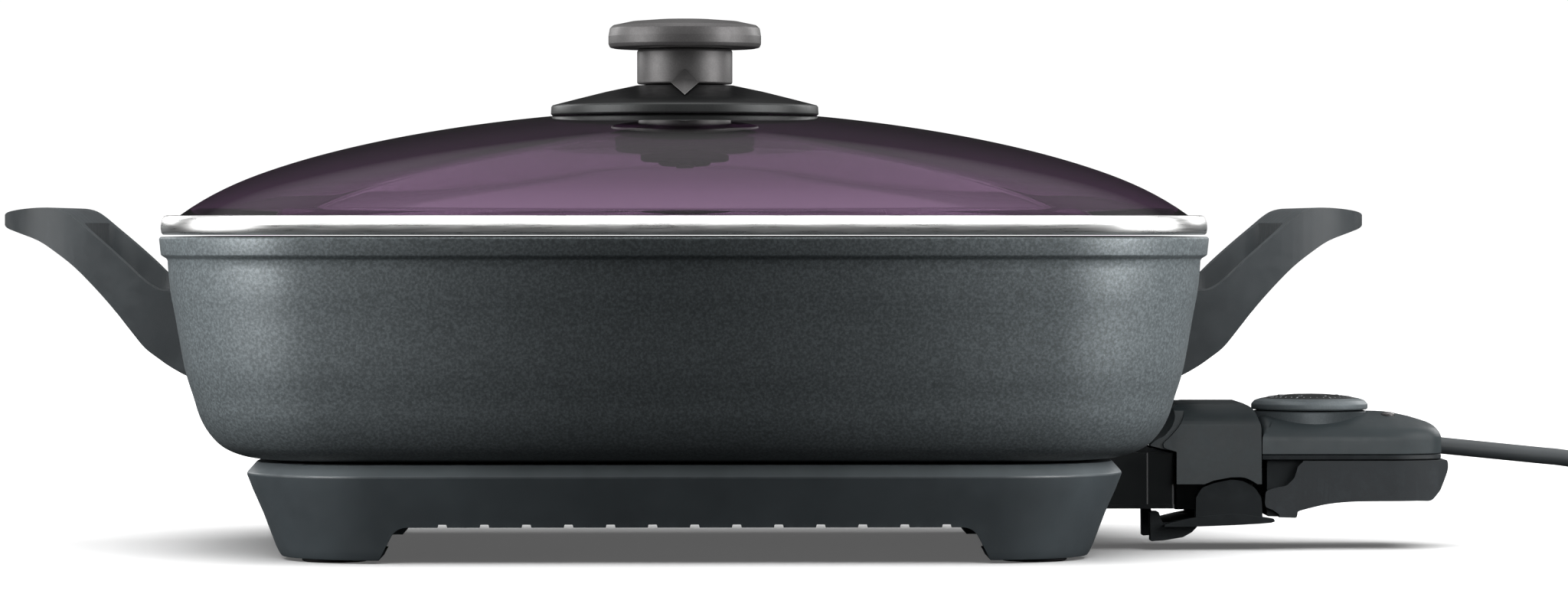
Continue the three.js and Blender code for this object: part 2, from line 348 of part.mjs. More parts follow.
const rm = (COIL.r1 + COIL.r2) / 2, hw = (COIL.r2 - COIL.r1) / 2 + 3.4;
const tie = solid(box(-5, 5, -hw - 1.7, hw + 1.7, 0.05, COIL.z + 14.6)).subtract(solid(box(-6, 6, -hw - 0.6, hw + 0.6, 0.9, COIL.z + 13.5))).translate([0, rm, 0]).rotate([0, 0, -20]).translate([COIL.x, COIL.y, 0]);
add('cord', 'cord_tie', tie, 0x161718, 0.8, 0);
const TAILX = COIL.x + COIL.r2, TZ = COIL.z + 13.1 - CORD_D / 2;
add('cord', 'cord_tail', tube([[TAILX, COIL.y + 24, TZ + 0.1], [TAILX, 68, TZ + 1.0], [TAILX, 74, TZ + 3.2], [TAILX, 80, TZ + 5.8], [TAILX, 84.5, 17.8], [TAILX, PLUG_Y - 0.6, 18.0]], CORD_D / 2, 12, 8), 0x2c2f31, 0.6, 0);
const plug = lathe([[0, 0], [4.6, 0], [5.2, 2], [6.4, 22], [9, 25], [15.5, 29], [17.6, 33], [17.9, 52], [17, 53.4], [0, 53.4]], 28).rotateX(-Math.PI / 2).translate(TAILX, PLUG_Y, 18.0);
add('cord', 'plug_body', solid(plug).subtract(solid(box(TAILX - 1.6, TAILX + 1.6, PLUG_Y + 45, PLUG_Y + 56, 30.5, 38))).subtract(solid(box(TAILX - 1.6, TAILX + 1.6, PLUG_Y + 45, PLUG_Y + 56, -1, 5.5))), 0x222426, 0.6, 0);
for (const [n, s] of [['a', -1], ['b', 1]])
  add('cord', 'plug_pin_' + n, lathe([[0, 0], [2.4, 0], [2.4, 17.6], [1.6, 19], [0, 19]], 14).rotateX(-Math.PI / 2).translate(TAILX + s * 9.5, PLUG_Y + 53.7, 18.0), STEEL, 0.25, 1);

export default root;
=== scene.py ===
import json
import math
import bpy
import bmesh
from mathutils import Matrix, Vector

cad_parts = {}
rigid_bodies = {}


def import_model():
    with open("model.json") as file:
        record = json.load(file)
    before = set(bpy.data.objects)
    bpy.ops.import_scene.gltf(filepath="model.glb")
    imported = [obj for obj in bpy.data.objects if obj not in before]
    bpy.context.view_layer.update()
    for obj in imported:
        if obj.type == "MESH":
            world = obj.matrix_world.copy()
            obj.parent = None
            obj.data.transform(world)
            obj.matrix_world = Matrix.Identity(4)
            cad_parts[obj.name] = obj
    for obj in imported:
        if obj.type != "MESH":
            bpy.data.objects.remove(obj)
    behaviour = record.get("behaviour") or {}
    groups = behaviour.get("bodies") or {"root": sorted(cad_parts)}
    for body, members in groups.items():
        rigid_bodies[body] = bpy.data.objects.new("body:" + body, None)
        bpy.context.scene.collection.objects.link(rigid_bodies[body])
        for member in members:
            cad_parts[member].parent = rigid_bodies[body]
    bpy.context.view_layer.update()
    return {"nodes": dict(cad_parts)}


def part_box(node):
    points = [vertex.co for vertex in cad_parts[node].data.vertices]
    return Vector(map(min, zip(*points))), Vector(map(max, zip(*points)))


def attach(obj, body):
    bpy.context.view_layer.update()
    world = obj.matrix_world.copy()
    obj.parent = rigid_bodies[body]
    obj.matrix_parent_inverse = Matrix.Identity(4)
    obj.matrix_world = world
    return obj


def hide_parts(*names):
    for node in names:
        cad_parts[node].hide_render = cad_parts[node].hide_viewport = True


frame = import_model()
scene = bpy.context.scene
_lo, _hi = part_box("pan")
CX = (_lo.x + _hi.x) / 2 * 1000.0        # pan centre in the row frame, mm
PI = math.pi


def P(x, y, z):
    """Pan-centred millimetres to the row frame in metres."""
    return ((CX + x) / 1000.0, y / 1000.0, z / 1000.0)


# ------------------------------------------------------------------ camera
cam_data = bpy.data.cameras.new("camera")
cam = bpy.data.objects.new("camera", cam_data)
scene.collection.objects.link(cam)
scene.camera = cam
cam_data.sensor_width = 36.0
cam_data.lens = 131.8
cam_data.clip_start, cam_data.clip_end = 0.05, 30.0
cam.location = (-0.0156, -2.182, 0.122)
cam.rotation_mode = "QUATERNION"
cam.rotation_quaternion = (Vector((0.0221, 0.0, 0.0946)) - cam.location).to_track_quat("-Z", "Y")
scene.view_settings.view_transform = "Standard"
scene.view_settings.look = "None"
scene.view_settings.exposure = 0.0
scene.view_settings.gamma = 1.0


# ------------------------------------------------------------------ materials
def new_mat(name):
    m = bpy.data.materials.new(name)
    m.use_nodes = True
    nt = m.node_tree
    nt.nodes.clear()
    out = nt.nodes.new("ShaderNodeOutputMaterial")
    b = nt.nodes.new("ShaderNodeBsdfPrincipled")
    nt.links.new(b.outputs["BSDF"], out.inputs["Surface"])
    co = nt.nodes.new("ShaderNodeTexCoord")
    return m, nt, b, co


def noise(nt, co, scale, detail=2.0, rough=0.5, stretch=None):
    n = nt.nodes.new("ShaderNodeTexNoise")
    n.inputs["Scale"].default_value = scale
    n.inputs["Detail"].default_value = detail
    n.inputs["Roughness"].default_value = rough
    src = co.outputs["Object"]
    if stretch:
        mp = nt.nodes.new("ShaderNodeMapping")
        mp.inputs["Scale"].default_value = stretch
        nt.links.new(src, mp.inputs["Vector"])
        src = mp.outputs["Vector"]
    nt.links.new(src, n.inputs["Vector"])
    return n.outputs["Fac"]


def ramp(nt, fac, stops):
    r = nt.nodes.new("ShaderNodeValToRGB")
    el = r.color_ramp.elements
    while len(el) < len(stops):
        el.new(0.5)
    for e, (p, c) in zip(el, stops):
        e.position = p
        e.color = (c[0], c[1], c[2], 1) if hasattr(c, "__len__") else (c, c, c, 1)
    nt.links.new(fac, r.inputs["Fac"])
    return r.outputs["Color"]


def mix(nt, a, b, fac, mode="MIX"):
    n = nt.nodes.new("ShaderNodeMix")
    n.data_type = "RGBA"
    n.blend_type = mode
    for sock, v in ((n.inputs[6], a), (n.inputs[7], b)):
        if hasattr(v, "is_output"):
            nt.links.new(v, sock)
        else:
            sock.default_value = (v[0], v[1], v[2], 1)
    if hasattr(fac, "is_output"):
        nt.links.new(fac, n.inputs[0])
    else:
        n.inputs[0].default_value = fac
    return n.outputs[2]


def maprange(nt, v, lo, hi, a, b):
    n = nt.nodes.new("ShaderNodeMapRange")
    nt.links.new(v, n.inputs[0])
    n.inputs[1].default_value, n.inputs[2].default_value = lo, hi
    n.inputs[3].default_value, n.inputs[4].default_value = a, b
    return n.outputs[0]


def bump(nt, bsdf, layers):
    """layers: (height socket, strength, distance in mm)."""
    last = None
    for h, s, d in layers:
        n = nt.nodes.new("ShaderNodeBump")
        n.inputs["Strength"].default_value = s
        n.inputs["Distance"].default_value = d / 1000.0
        nt.links.new(h, n.inputs["Height"])
        if last is not None:
            nt.links.new(last, n.inputs["Normal"])
        last = n.outputs["Normal"]
    nt.links.new(last, bsdf.inputs["Normal"])


def moulded(name, col, rough, grain=1900.0, bump_mm=0.03, vary=0.16, spec=0.5, edge=0.35, metal=0.0, speck=0.0,
            coat=0.0, sheen=0.0):
    """Fine-grained moulded plastic, rubber or coated metal, with mottling, scuffed edges and uneven gloss."""
    m, nt, b, co = new_mat(name)
    big = noise(nt, co, 34.0, 3.0, 0.55)
    mid = noise(nt, co, 210.0, 3.0, 0.6)
    fine = noise(nt, co, grain, 2.0, 0.6)
    lo = tuple(c * (1 - vary) for c in col)
    hi = tuple(min(1, c * (1 + vary)) for c in col)
    base = ramp(nt, big, [(0.3, lo), (0.7, hi)])
    if speck > 0:
        sp = ramp(nt, fine, [(0.35, 1 - speck * 0.55), (0.52, 1.0), (0.66, 1 + speck)])
        base = mix(nt, base, sp, 1.0, "MULTIPLY")
    geo = nt.nodes.new("ShaderNodeNewGeometry")
    worn = ramp(nt, geo.outputs["Pointiness"], [(0.515, 0.0), (0.57, 1.0)])
    scuff = mix(nt, worn, ramp(nt, mid, [(0.42, 0.0), (0.62, 1.0)]), 1.0, "MULTIPLY")
    light = tuple(min(1, c * (1 + edge * 2.2) + 0.006 * edge) for c in col)
    k = nt.nodes.new("ShaderNodeMath")
    k.operation = "MULTIPLY"
    nt.links.new(scuff, k.inputs[0])
    k.inputs[1].default_value = min(1.0, edge)
    base = mix(nt, base, light, k.outputs[0])
    nt.links.new(base, b.inputs["Base Color"])
    nt.links.new(maprange(nt, mid, 0.25, 0.75, rough - 0.05, rough + 0.06), b.inputs["Roughness"])
    b.inputs["Metallic"].default_value = metal
    b.inputs["Specular IOR Level"].default_value = spec
    b.inputs["Coat Weight"].default_value = coat
    b.inputs["Sheen Weight"].default_value = sheen
    bump(nt, b, [(fine, 0.55, bump_mm), (mid, 0.2, bump_mm * 1.6)])
    return m


def metal(name, col, rough, stretch=(1, 1, 40), scale=90.0, vary=0.08, bump_mm=0.006):
    """Brushed or turned metal: drawn-out grain in colour, gloss and bump."""
    m, nt, b, co = new_mat(name)
    g = noise(nt, co, scale, 4.0, 0.65, stretch)
    big = noise(nt, co, 28.0, 3.0, 0.6)
    lo = tuple(c * (1 - vary) for c in col)
    hi = tuple(min(1, c * (1 + vary)) for c in col)
    c1 = ramp(nt, g, [(0.3, lo), (0.7, hi)])
    c2 = ramp(nt, big, [(0.3, 0.93), (0.7, 1.0)])
    nt.links.new(mix(nt, c1, c2, 1.0, "MULTIPLY"), b.inputs["Base Color"])
    nt.links.new(maprange(nt, g, 0.25, 0.75, rough - 0.06, rough + 0.08), b.inputs["Roughness"])
    b.inputs["Metallic"].default_value = 1.0
    bump(nt, b, [(g, 0.35, bump_mm), (big, 0.1, 0.05)])
    return m


def pan_material():
    """Dark satin non-stick coating with metallic fleck."""
    m, nt, b, co = new_mat("pan_coating_satin")
    big = noise(nt, co, 16.0, 3.0, 0.5)
    mid = noise(nt, co, 980.0, 2.0, 0.6)
    fine = noise(nt, co, 1500.0, 2.0, 0.7)
    v = nt.nodes.new("ShaderNodeTexVoronoi")
    v.inputs["Scale"].default_value = 900.0
    nt.links.new(co.outputs["Object"], v.inputs["Vector"])
    base = ramp(nt, big, [(0.3, (0.060, 0.070, 0.074)), (0.7, (0.072, 0.083, 0.088))])
    fl = ramp(nt, mid, [(0.34, 0.72), (0.5, 0.98), (0.64, 1.34)])
    base = mix(nt, base, fl, 1.0, "MULTIPLY")
    spark = ramp(nt, v.outputs["Distance"], [(0.06, 1.7), (0.22, 1.0)])
    base = mix(nt, base, spark, 0.6, "MULTIPLY")
    nt.links.new(base, b.inputs["Base Color"])
    nt.links.new(maprange(nt, fine, 0.2, 0.8, 0.44, 0.62), b.inputs["Roughness"])
    b.inputs["Metallic"].default_value = 0.35
    b.inputs["Specular IOR Level"].default_value = 0.4
    bump(nt, b, [(mid, 0.32, 0.04), (fine, 0.3, 0.03)])
    return m


def glass_material():
    m, nt, b, co = new_mat("tinted_glass_violet")
    b.inputs["Base Color"].default_value = (1, 1, 1, 1)
    b.inputs["Transmission Weight"].default_value = 1.0
    b.inputs["IOR"].default_value = 1.42
    r = noise(nt, co, 60.0, 3.0, 0.6)
    nt.links.new(maprange(nt, r, 0.3, 0.75, 0.004, 0.03), b.inputs["Roughness"])
    w = noise(nt, co, 24.0, 2.0, 0.5)
    bump(nt, b, [(w, 0.12, 0.10)])
    va = nt.nodes.new("ShaderNodeVolumeAbsorption")
    va.inputs["Color"].default_value = (0.34, 0.108, 0.345, 1)
    va.inputs["Density"].default_value = 348.0
    out = [n for n in nt.nodes if n.type == "OUTPUT_MATERIAL"][0]
    nt.links.new(va.outputs["Volume"], out.inputs["Volume"])
    return m


def clear_plastic(name, col, rough, dens):
    m, nt, b, co = new_mat(name)
    n = noise(nt, co, 900.0, 3.0, 0.6)
    nt.links.new(ramp(nt, n, [(0.3, tuple(c * 0.85 for c in col)), (0.7, col)]), b.inputs["Base Color"])
    nt.links.new(maprange(nt, n, 0.3, 0.7, rough, rough + 0.08), b.inputs["Roughness"])
    b.inputs["Transmission Weight"].default_value = 0.35
    b.inputs["IOR"].default_value = 1.49
    bump(nt, b, [(n, 0.3, 0.02)])
    return m


M_PAN = pan_material()
M_BASE = moulded("base_plastic_grain", (0.022, 0.027, 0.030), 0.50, 2100, 0.035, 0.16, 0.42)
# Lighter copy of the base plastic for the upward-facing top shoulder: a painted highlight standing in for light caught
# by the fillet.
M_BASE_TOP_PAINTED_HIGHLIGHT = moulded("base_top_band_painted_highlight", (0.050, 0.058, 0.062), 0.42, 2100, 0.015)
M_HANDLE = moulded("handle_plastic_grain", (0.028, 0.033, 0.036), 0.46, 2100, 0.03)
M_BLACK = moulded("black_plastic_fine", (0.013, 0.015, 0.016), 0.36, 2400, 0.012, 0.12)
M_VENT = moulded("vent_plastic_black", (0.006, 0.006, 0.0065), 0.8, 2400, 0.012, 0.12, 0.06)
M_CONE = moulded("black_plastic_satin", (0.007, 0.0075, 0.008), 0.42, 2400, 0.012, 0.12, 0.22)
M_RUBBER = moulded("foot_rubber_black", (0.012, 0.012, 0.013), 0.82, 1300, 0.06, 0.2, 0.3)
M_SCREW = metal("screw_steel_plated", (0.56, 0.57, 0.58), 0.32, (30, 1, 1), 160)
M_HEATER = metal("heater_sheath_steel", (0.42, 0.39, 0.36), 0.45, (1, 1, 1), 300, 0.2, 0.02)
M_PIN = metal("pin_steel_polished", (0.74, 0.74, 0.75), 0.22, (1, 30, 30), 120)
M_RIM = metal("rim_steel_brushed", (0.93, 0.93, 0.92), 0.30, (1, 1, 26), 70, 0.03, 0.004)
M_GLASS = glass_material()
M_SILICONE = moulded("gasket_silicone_black", (0.014, 0.014, 0.015), 0.62, 1500, 0.03, 0.15, 0.4)
M_KNOB = moulded("knob_satin_grey", (0.20, 0.194, 0.194), 0.46, 1700, 0.010, 0.07, 0.5, 0.25, 0.55, 0.10)
M_MARK = moulded("pointer_satin_grey", (0.105, 0.102, 0.102), 0.48, 1700, 0.010, 0.07, 0.5, 0.25, 0.45, 0.10)
M_RING = moulded("collar_satin_grey", (0.068, 0.071, 0.071), 0.40, 1700, 0.010, 0.07, 0.5, 0.25, 0.35, 0.08)
M_CTRL = moulded("controller_plastic_grain", (0.037, 0.047, 0.051), 0.46, 2000, 0.028, 0.14, 0.32)
M_LOWER = moulded("lower_plastic_grain", (0.026, 0.031, 0.034), 0.50, 2000, 0.03, 0.14)
M_GRIP = moulded("grip_rubber_matte", (0.022, 0.026, 0.029), 0.66, 1500, 0.05, 0.14, 0.32)
M_DIALRING = moulded("dial_ring_satin", (0.105, 0.122, 0.130), 0.50, 1700, 0.010, 0.08, 0.4, 0.25, 0.25, 0.10)
M_DIALFACE = moulded("dial_face_black", (0.020, 0.022, 0.023), 0.34, 2200, 0.010, 0.10)
M_INK = moulded("dial_ink_grey", (0.32, 0.34, 0.35), 0.5, 2600, 0.005, 0.05)
M_BRASS = metal("contact_brass_drawn", (0.72, 0.52, 0.24), 0.30, (1, 30, 30), 110, 0.12)
M_CERAMIC = moulded("ceramic_offwhite", (0.58, 0.54, 0.46), 0.55, 900, 0.04, 0.08)
M_LENS = clear_plastic("lens_smoke_clear", (0.20, 0.19, 0.19), 0.12, 300)
M_LAMP = clear_plastic("lamp_glass_amber", (0.8, 0.45, 0.22), 0.05, 100)
M_CORD = moulded("cord_jacket_rubber", (0.042, 0.048, 0.051), 0.56, 1500, 0.03, 0.14, 0.4)
M_PLUG = moulded("plug_plastic_black", (0.018, 0.020, 0.021), 0.5, 1700, 0.03, 0.14)
M_TIE = moulded("tie_black_nylon", (0.013, 0.013, 0.014), 0.6, 1200, 0.05, 0.2, 0.4)


# ------------------------------------------------------------------ geometry helpers (pan-centred mm)
def fil(pts, closed=True, seg=5):
    """Rounds each corner that carries a third value, its radius."""
    out, n = [], len(pts)
    for i, p in enumerate(pts):
        r = p[2] if len(p) > 2 else 0
        if r <= 0 or (not closed and i in (0, n - 1)):
            out.append((p[0], p[1]))
            continue
        a, b, c = Vector(pts[i - 1][:2]), Vector(p[:2]), Vector(pts[(i + 1) % n][:2])
        u, v = a - b, c - b
        lu, lv = u.length, v.length
        u.normalize()
        v.normalize()
        ang = math.acos(max(-1, min(1, u.dot(v))))
        if ang > PI - 0.03 or ang < 0.03:
            out.append((p[0], p[1]))
            continue
        t = min(r / math.tan(ang / 2), 0.48 * lu, 0.48 * lv)
        r = t * math.tan(ang / 2)
        ce = b + (u + v).normalized() * (r / math.sin(ang / 2))
        s, e = b + u * t, b + v * t
        a0 = math.atan2(s.y - ce.y, s.x - ce.x)
        a1 = math.atan2(e.y - ce.y, e.x - ce.x)
        d = (a1 - a0 + PI) % (2 * PI) - PI
        k = max(2, int(seg * abs(d) / (PI / 2) + 0.99))
        for j in range(k + 1):
            q = a0 + d * j / k
            out.append((ce.x + r * math.cos(q), ce.y + r * math.sin(q)))
    return out


def smooth_pts(pts, per=6):
    """Catmull-Rom through the points."""
    out = []
    n = len(pts)
    for i in range(n - 1):
        p0 = pts[max(0, i - 1)]
        p1, p2 = pts[i], pts[i + 1]
        p3 = pts[min(n - 1, i + 2)]
        for j in range(per):
            t = j / per
            out.append(tuple(
                0.5 * ((2 * b) + (-a + c) * t + (2 * a - 5 * b + 4 * c - d) * t * t + (-a + 3 * b - 3 * c + d) * t ** 3)
                for a, b, c, d in zip(p0, p1, p2, p3)))
    out.append(tuple(pts[-1]))
    return out


def rrect(hx, hy, r, seg=14, cx=0.0, cy=0.0, side=1):
    """Rounded rectangle outline, counter-clockwise from the right side; side > 1 splits the straights."""
    r = max(0.01, min(r, hx, hy))
    pts = []
    corners = [(hx - r, hy - r, 0), (-hx + r, hy - r, PI / 2), (-hx + r, -hy + r, PI), (hx - r, -hy + r, 1.5 * PI)]
    for k, (x, y, a) in enumerate(corners):
        arc = [(cx + x + r * math.cos(a + PI / 2 * j / seg), cy + y + r * math.sin(a + PI / 2 * j / seg)) for j in range(seg + 1)]
        if pts and side > 1:
            q = pts[-1]
            for s in range(1, side):
                pts.append((q[0] + (arc[0][0] - q[0]) * s / side, q[1] + (arc[0][1] - q[1]) * s / side))
        pts += arc
    if side > 1:
        q, w = pts[-1], pts[0]
        for s in range(1, side):
            pts.append((q[0] + (w[0] - q[0]) * s / side, q[1] + (w[1] - q[1]) * s / side))
    return pts


def at_z(outline, z):
    return [(x, y, z) for x, y in outline]


def make(name, verts, faces):
    me = bpy.data.meshes.new(name)
    me.from_pydata([tuple(v) for v in verts], [], faces)
    bm = bmesh.new()
    bm.from_mesh(me)
    bmesh.ops.remove_doubles(bm, verts=bm.verts, dist=1e-4)
    bmesh.ops.dissolve_degenerate(bm, edges=bm.edges, dist=1e-5)
    bmesh.ops.recalc_face_normals(bm, faces=bm.faces)
    bm.to_mesh(me)
    bm.free()
    o = bpy.data.objects.new(name, me)
    scene.collection.objects.link(o)
    return o


def loft(name, rings, cyclic=False, caps=True):
    n = len(rings[0])
    verts = [p for r in rings for p in r]
    faces = []
    m = len(rings)
    for i in range(m if cyclic else m - 1):
        a, b = i * n, ((i + 1) % m) * n
        for j in range(n):
            k = (j + 1) % n
            faces.append((a + j, a + k, b + k, b + j))
    if not cyclic and caps:
        faces.append(tuple(range(n))[::-1])
        faces.append(tuple((m - 1) * n + j for j in range(n)))
    return make(name, verts, faces)


def lathe(name, prof, seg=96, cx=0.0, cy=0.0, closed=True):
    """Turns (r, z) about a vertical axis. A closed profile is a ring; an open one starts and ends on the axis."""
    verts, faces, rows = [], [], []
    for r, z in prof:
        if r < 1e-4:
            rows.append([len(verts)])
            verts.append((cx, cy, z))
        else:
            rows.append(list(range(len(verts), len(verts) + seg)))
            verts += [(cx + r * math.cos(2 * PI * j / seg), cy + r * math.sin(2 * PI * j / seg), z) for j in range(seg)]
    m = len(rows)
    for i in range(m if closed else m - 1):
        a, b = rows[i], rows[(i + 1) % m]
        if len(a) == 1 and len(b) == 1:
            continue
        for j in range(seg):
            k = (j + 1) % seg
            if len(a) == 1:
                faces.append((a[0], b[k], b[j]))
            elif len(b) == 1:
                faces.append((a[j], a[k], b[0]))
            else:
                faces.append((a[j], a[k], b[k], b[j]))
    return make(name, verts, faces)


def turn(o, matrix):
    o.data.transform(matrix)
    return o


def prism(name, outline, axis, lo, hi):
    """Extrudes a 2-D outline along x, y or z."""
    def pt(a, b, t):
        return {"x": (t, a, b), "y": (a, t, b), "z": (a, b, t)}[axis]
    return loft(name, [[pt(a, b, lo) for a, b in outline], [pt(a, b, hi) for a, b in outline]])


def bake(o):
    dg = bpy.context.evaluated_depsgraph_get()
    dg.update()
    me = bpy.data.meshes.new_from_object(o.evaluated_get(dg))
    o.modifiers.clear()
    old = o.data
    o.data = me
    bpy.data.meshes.remove(old)
    return o


def boolean(o, other, op="DIFFERENCE"):
    m = o.modifiers.new("b", "BOOLEAN")
    m.operation = op
    m.object = other
    m.solver = "EXACT"
    bake(o)
    bpy.data.objects.remove(other)
    return o


def clean(o, dist=0.002):
    bm = bmesh.new()
    bm.from_mesh(o.data)
    bmesh.ops.remove_doubles(bm, verts=bm.verts, dist=dist)
    bmesh.ops.dissolve_degenerate(bm, edges=bm.edges, dist=dist)
    bm.to_mesh(o.data)
    bm.free()
    return o


def bevel(o, width, seg=3, angle=35):
    clean(o)
    m = o.modifiers.new("bev", "BEVEL")
    m.width = width
    m.segments = seg
    m.limit_method = "ANGLE"
    m.angle_limit = math.radians(angle)
    m.use_clamp_overlap = True
    m.miter_outer = "MITER_ARC"
    return bake(o)


def join(name, parts):
    """One object from several separate shells."""
    bm = bmesh.new()
    for p in parts:
        bm.from_mesh(p.data)
        bpy.data.objects.remove(p)
    me = bpy.data.meshes.new(name)
    bm.to_mesh(me)
    bm.free()
    o = bpy.data.objects.new(name, me)
    scene.collection.objects.link(o)
    return o


def place(o, mat, body, slot, *nodes, sharp=34, weighted=False, mats=None):
    """Scales a pan-centred mm mesh into the row frame, attaches it to its body and hides the CAD parts it replaces."""
    me = o.data
    me.transform(Matrix.Translation((CX / 1000.0, 0, 0)) @ Matrix.Scale(0.001, 4))
    me.materials.clear()
    for mm in (mats or [mat]):
        me.materials.append(mm)
    me.shade_smooth()
    me.set_sharp_from_angle(angle=math.radians(sharp))
    if weighted:
        m = o.modifiers.new("wn", "WEIGHTED_NORMAL")
        m.keep_sharp = True
        m.mode = "FACE_AREA"
        bake(o)
    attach(o, body)
    if nodes:
        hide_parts(*nodes)
    return o


def dress(node, mat):
    o = frame["nodes"][node]
    for s in o.material_slots:
        s.link = "OBJECT"
        s.material = mat


def tube_mesh(name, pts, rad, seg=16, cap=True):
    """Round tube along points (pan-centred mm); rad is a number or one per point."""
    n = len(pts)
    rr = rad if hasattr(rad, "__len__") else [rad] * n
    ps = [Vector(p) for p in pts]
    rings = []
    up = Vector((0, 0, 1))
    last = None
    for i, p in enumerate(ps):
        t = (ps[min(n - 1, i + 1)] - ps[max(0, i - 1)]).normalized()
        if last is None:
            ref = up if abs(t.z) < 0.9 else Vector((1, 0, 0))
            a = t.cross(ref).normalized()
        else:
            a = (last - t * last.dot(t)).normalized()
        last = a
        b = t.cross(a)
        rings.append([tuple(p + (a * math.cos(2 * PI * j / seg) + b * math.sin(2 * PI * j / seg)) * rr[i]) for j in range(seg)])
    return loft(name, rings)


# ------------------------------------------------------------------ cord, coil, plug (first, with the camera)
CORD_D = 6.4
EXIT = (287.4, 0.0, 38.6)
COIL_X, COIL_Y, R_IN, R_OUT, Z1, DZ = 420.0, 39.25, 32.75, 39.25, 4.45, 6.5


def smoothstep(a, b, x):
    t = max(0.0, min(1.0, (x - a) / (b - a)))
    return t * t * (3 - 2 * t)


route = []
for d in (0, 6, 13, 21, 30, 39):
    route.append((EXIT[0] + d, 0.0, EXIT[2] - 0.1 * d))
X0, Z0, X1 = 334.0, EXIT[2] - 0.1 * (334.0 - EXIT[0]), 405.0
for i in range(11):
    t = i / 11.0
    L = X1 - X0
    h00, h10, h01 = 2 * t ** 3 - 3 * t * t + 1, t ** 3 - 2 * t * t + t, -2 * t ** 3 + 3 * t * t
    route.append((X0 + L * t, 0.0, h00 * Z0 + h10 * L * -0.1 + h01 * Z1))
route.append((407.0, 0.0, Z1))
route.append((413.5, 0.0, Z1))
STEP = 15
a = -90
while a <= 1350:
    deg = a + 90
    lap, ph = deg // 360, deg % 360
    shift = smoothstep(288, 356, ph)                       # each lap changes place near its end
    if lap == 0:
        r, z = R_OUT - (R_OUT - R_IN) * shift, Z1
    elif lap == 1:
        r, z = R_IN, Z1 + DZ * shift
    elif lap == 2:
        r, z = R_IN + (R_OUT - R_IN) * shift, Z1 + DZ
    else:
        r, z = R_OUT, Z1 + DZ + DZ * smoothstep(225, 290, ph)
    if deg >= 1440:
        r, z = R_OUT, Z1 + 2 * DZ
    route.append((COIL_X + r * math.cos(math.radians(a)), COIL_Y + r * math.sin(math.radians(a)), z))
    a += STEP
while a <= 1440:
    route.append((COIL_X + R_OUT * math.cos(math.radians(a)), COIL_Y + R_OUT * math.sin(math.radians(a)), Z1 + 2 * DZ))
    a += STEP
TAIL_X = COIL_X + R_OUT
PLUG_Y, PLUG_Z = 88.0, 18.0
for y in (46.0, 54.0, 63.0, 72.0, 80.0, 86.5):
    route.append((TAIL_X, y, Z1 + 2 * DZ + (PLUG_Z - Z1 - 2 * DZ) * smoothstep(42, 84, y)))

cu = bpy.data.curves.new("cord_lead", "CURVE")
cu.dimensions = "3D"
sp = cu.splines.new("BEZIER")
sp.bezier_points.add(len(route) - 1)
for bp, q in zip(sp.bezier_points, route):
    bp.co = P(*q)
    bp.handle_left_type = bp.handle_right_type = "AUTO"
sp.resolution_u = 5
cu.bevel_depth = CORD_D / 2000.0
cu.bevel_resolution = 7
cu.use_fill_caps = True
cord_lead = bpy.data.objects.new("cord_lead", cu)
scene.collection.objects.link(cord_lead)
cu.materials.append(M_CORD)
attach(cord_lead, "controller")
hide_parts("cord", "cord_coil", "cord_tail")

# plug: round body with finger ribs, tapered sleeve, two pins
along_y = Matrix.Translation((TAIL_X, PLUG_Y, PLUG_Z)) @ Matrix.Rotation(-PI / 2, 4, "X")
prof = [(0, 0), (4.3, 0, 0.6), (5.0, 2, 0.8)]
for k in range(5):
    z = 4 + k * 3.6
    prof += [(5.15 + 0.2 * k, z), (5.2 + 0.2 * k, z + 0.9, 0.3), (4.45 + 0.2 * k, z + 1.3, 0.3), (4.55 + 0.2 * k, z + 2.4, 0.3), (5.3 + 0.2 * k, z + 2.8, 0.3)]
prof += [(6.3, 23, 1.0), (9.0, 25.2, 1.5), (15.4, 29, 3), (17.5, 33.5, 3), (17.1, 38, 2), (16.9, 44, 2), (17.6, 48.5, 1.5), (17.8, 52.2, 0.8), (16.8, 53.4, 0.6), (0, 53.4)]
plug_body = lathe("plug_shell", fil(prof, False), 72, closed=False)
turn(plug_body, along_y)
for sgn in (-1, 1):
    c = prism("c", rrect(1.5, 9, 1.4, 4, TAIL_X, PLUG_Y + 50), "z", PLUG_Z + sgn * 13.6 - 3.4 * (sgn < 0) * 1.0, PLUG_Z + sgn * 13.6 + 3.4 * (sgn > 0) + 3.4 * (sgn > 0))
    boolean(plug_body, c)
for k in range(-2, 3):
    for sgn in (-1, 1):
        c = prism("c", rrect(0.8, 0.75, 0.6, 3, TAIL_X + sgn * 17.6, PLUG_Y + 41 + k * 2.6), "z", PLUG_Z - 8, PLUG_Z + 8)
        boolean(plug_body, c)
place(plug_body, M_PLUG, "controller", "plug_plastic", "plug_body", sharp=38)
for n, s in (("a", -1), ("b", 1)):
    pin = lathe("plug_prong_" + n, fil([(0, 0), (2.0, 0), (2.4, 0.3), (2.4, 17.4, 1.2), (1.7, 19.0, 1.0), (0, 19.0)], False), 28, closed=False)
    turn(pin, Matrix.Translation((TAIL_X + s * 9.5, PLUG_Y + 53.7, PLUG_Z)) @ Matrix.Rotation(-PI / 2, 4, "X"))
    place(pin, M_PIN, "controller", "pin_steel", "plug_pin_" + n)
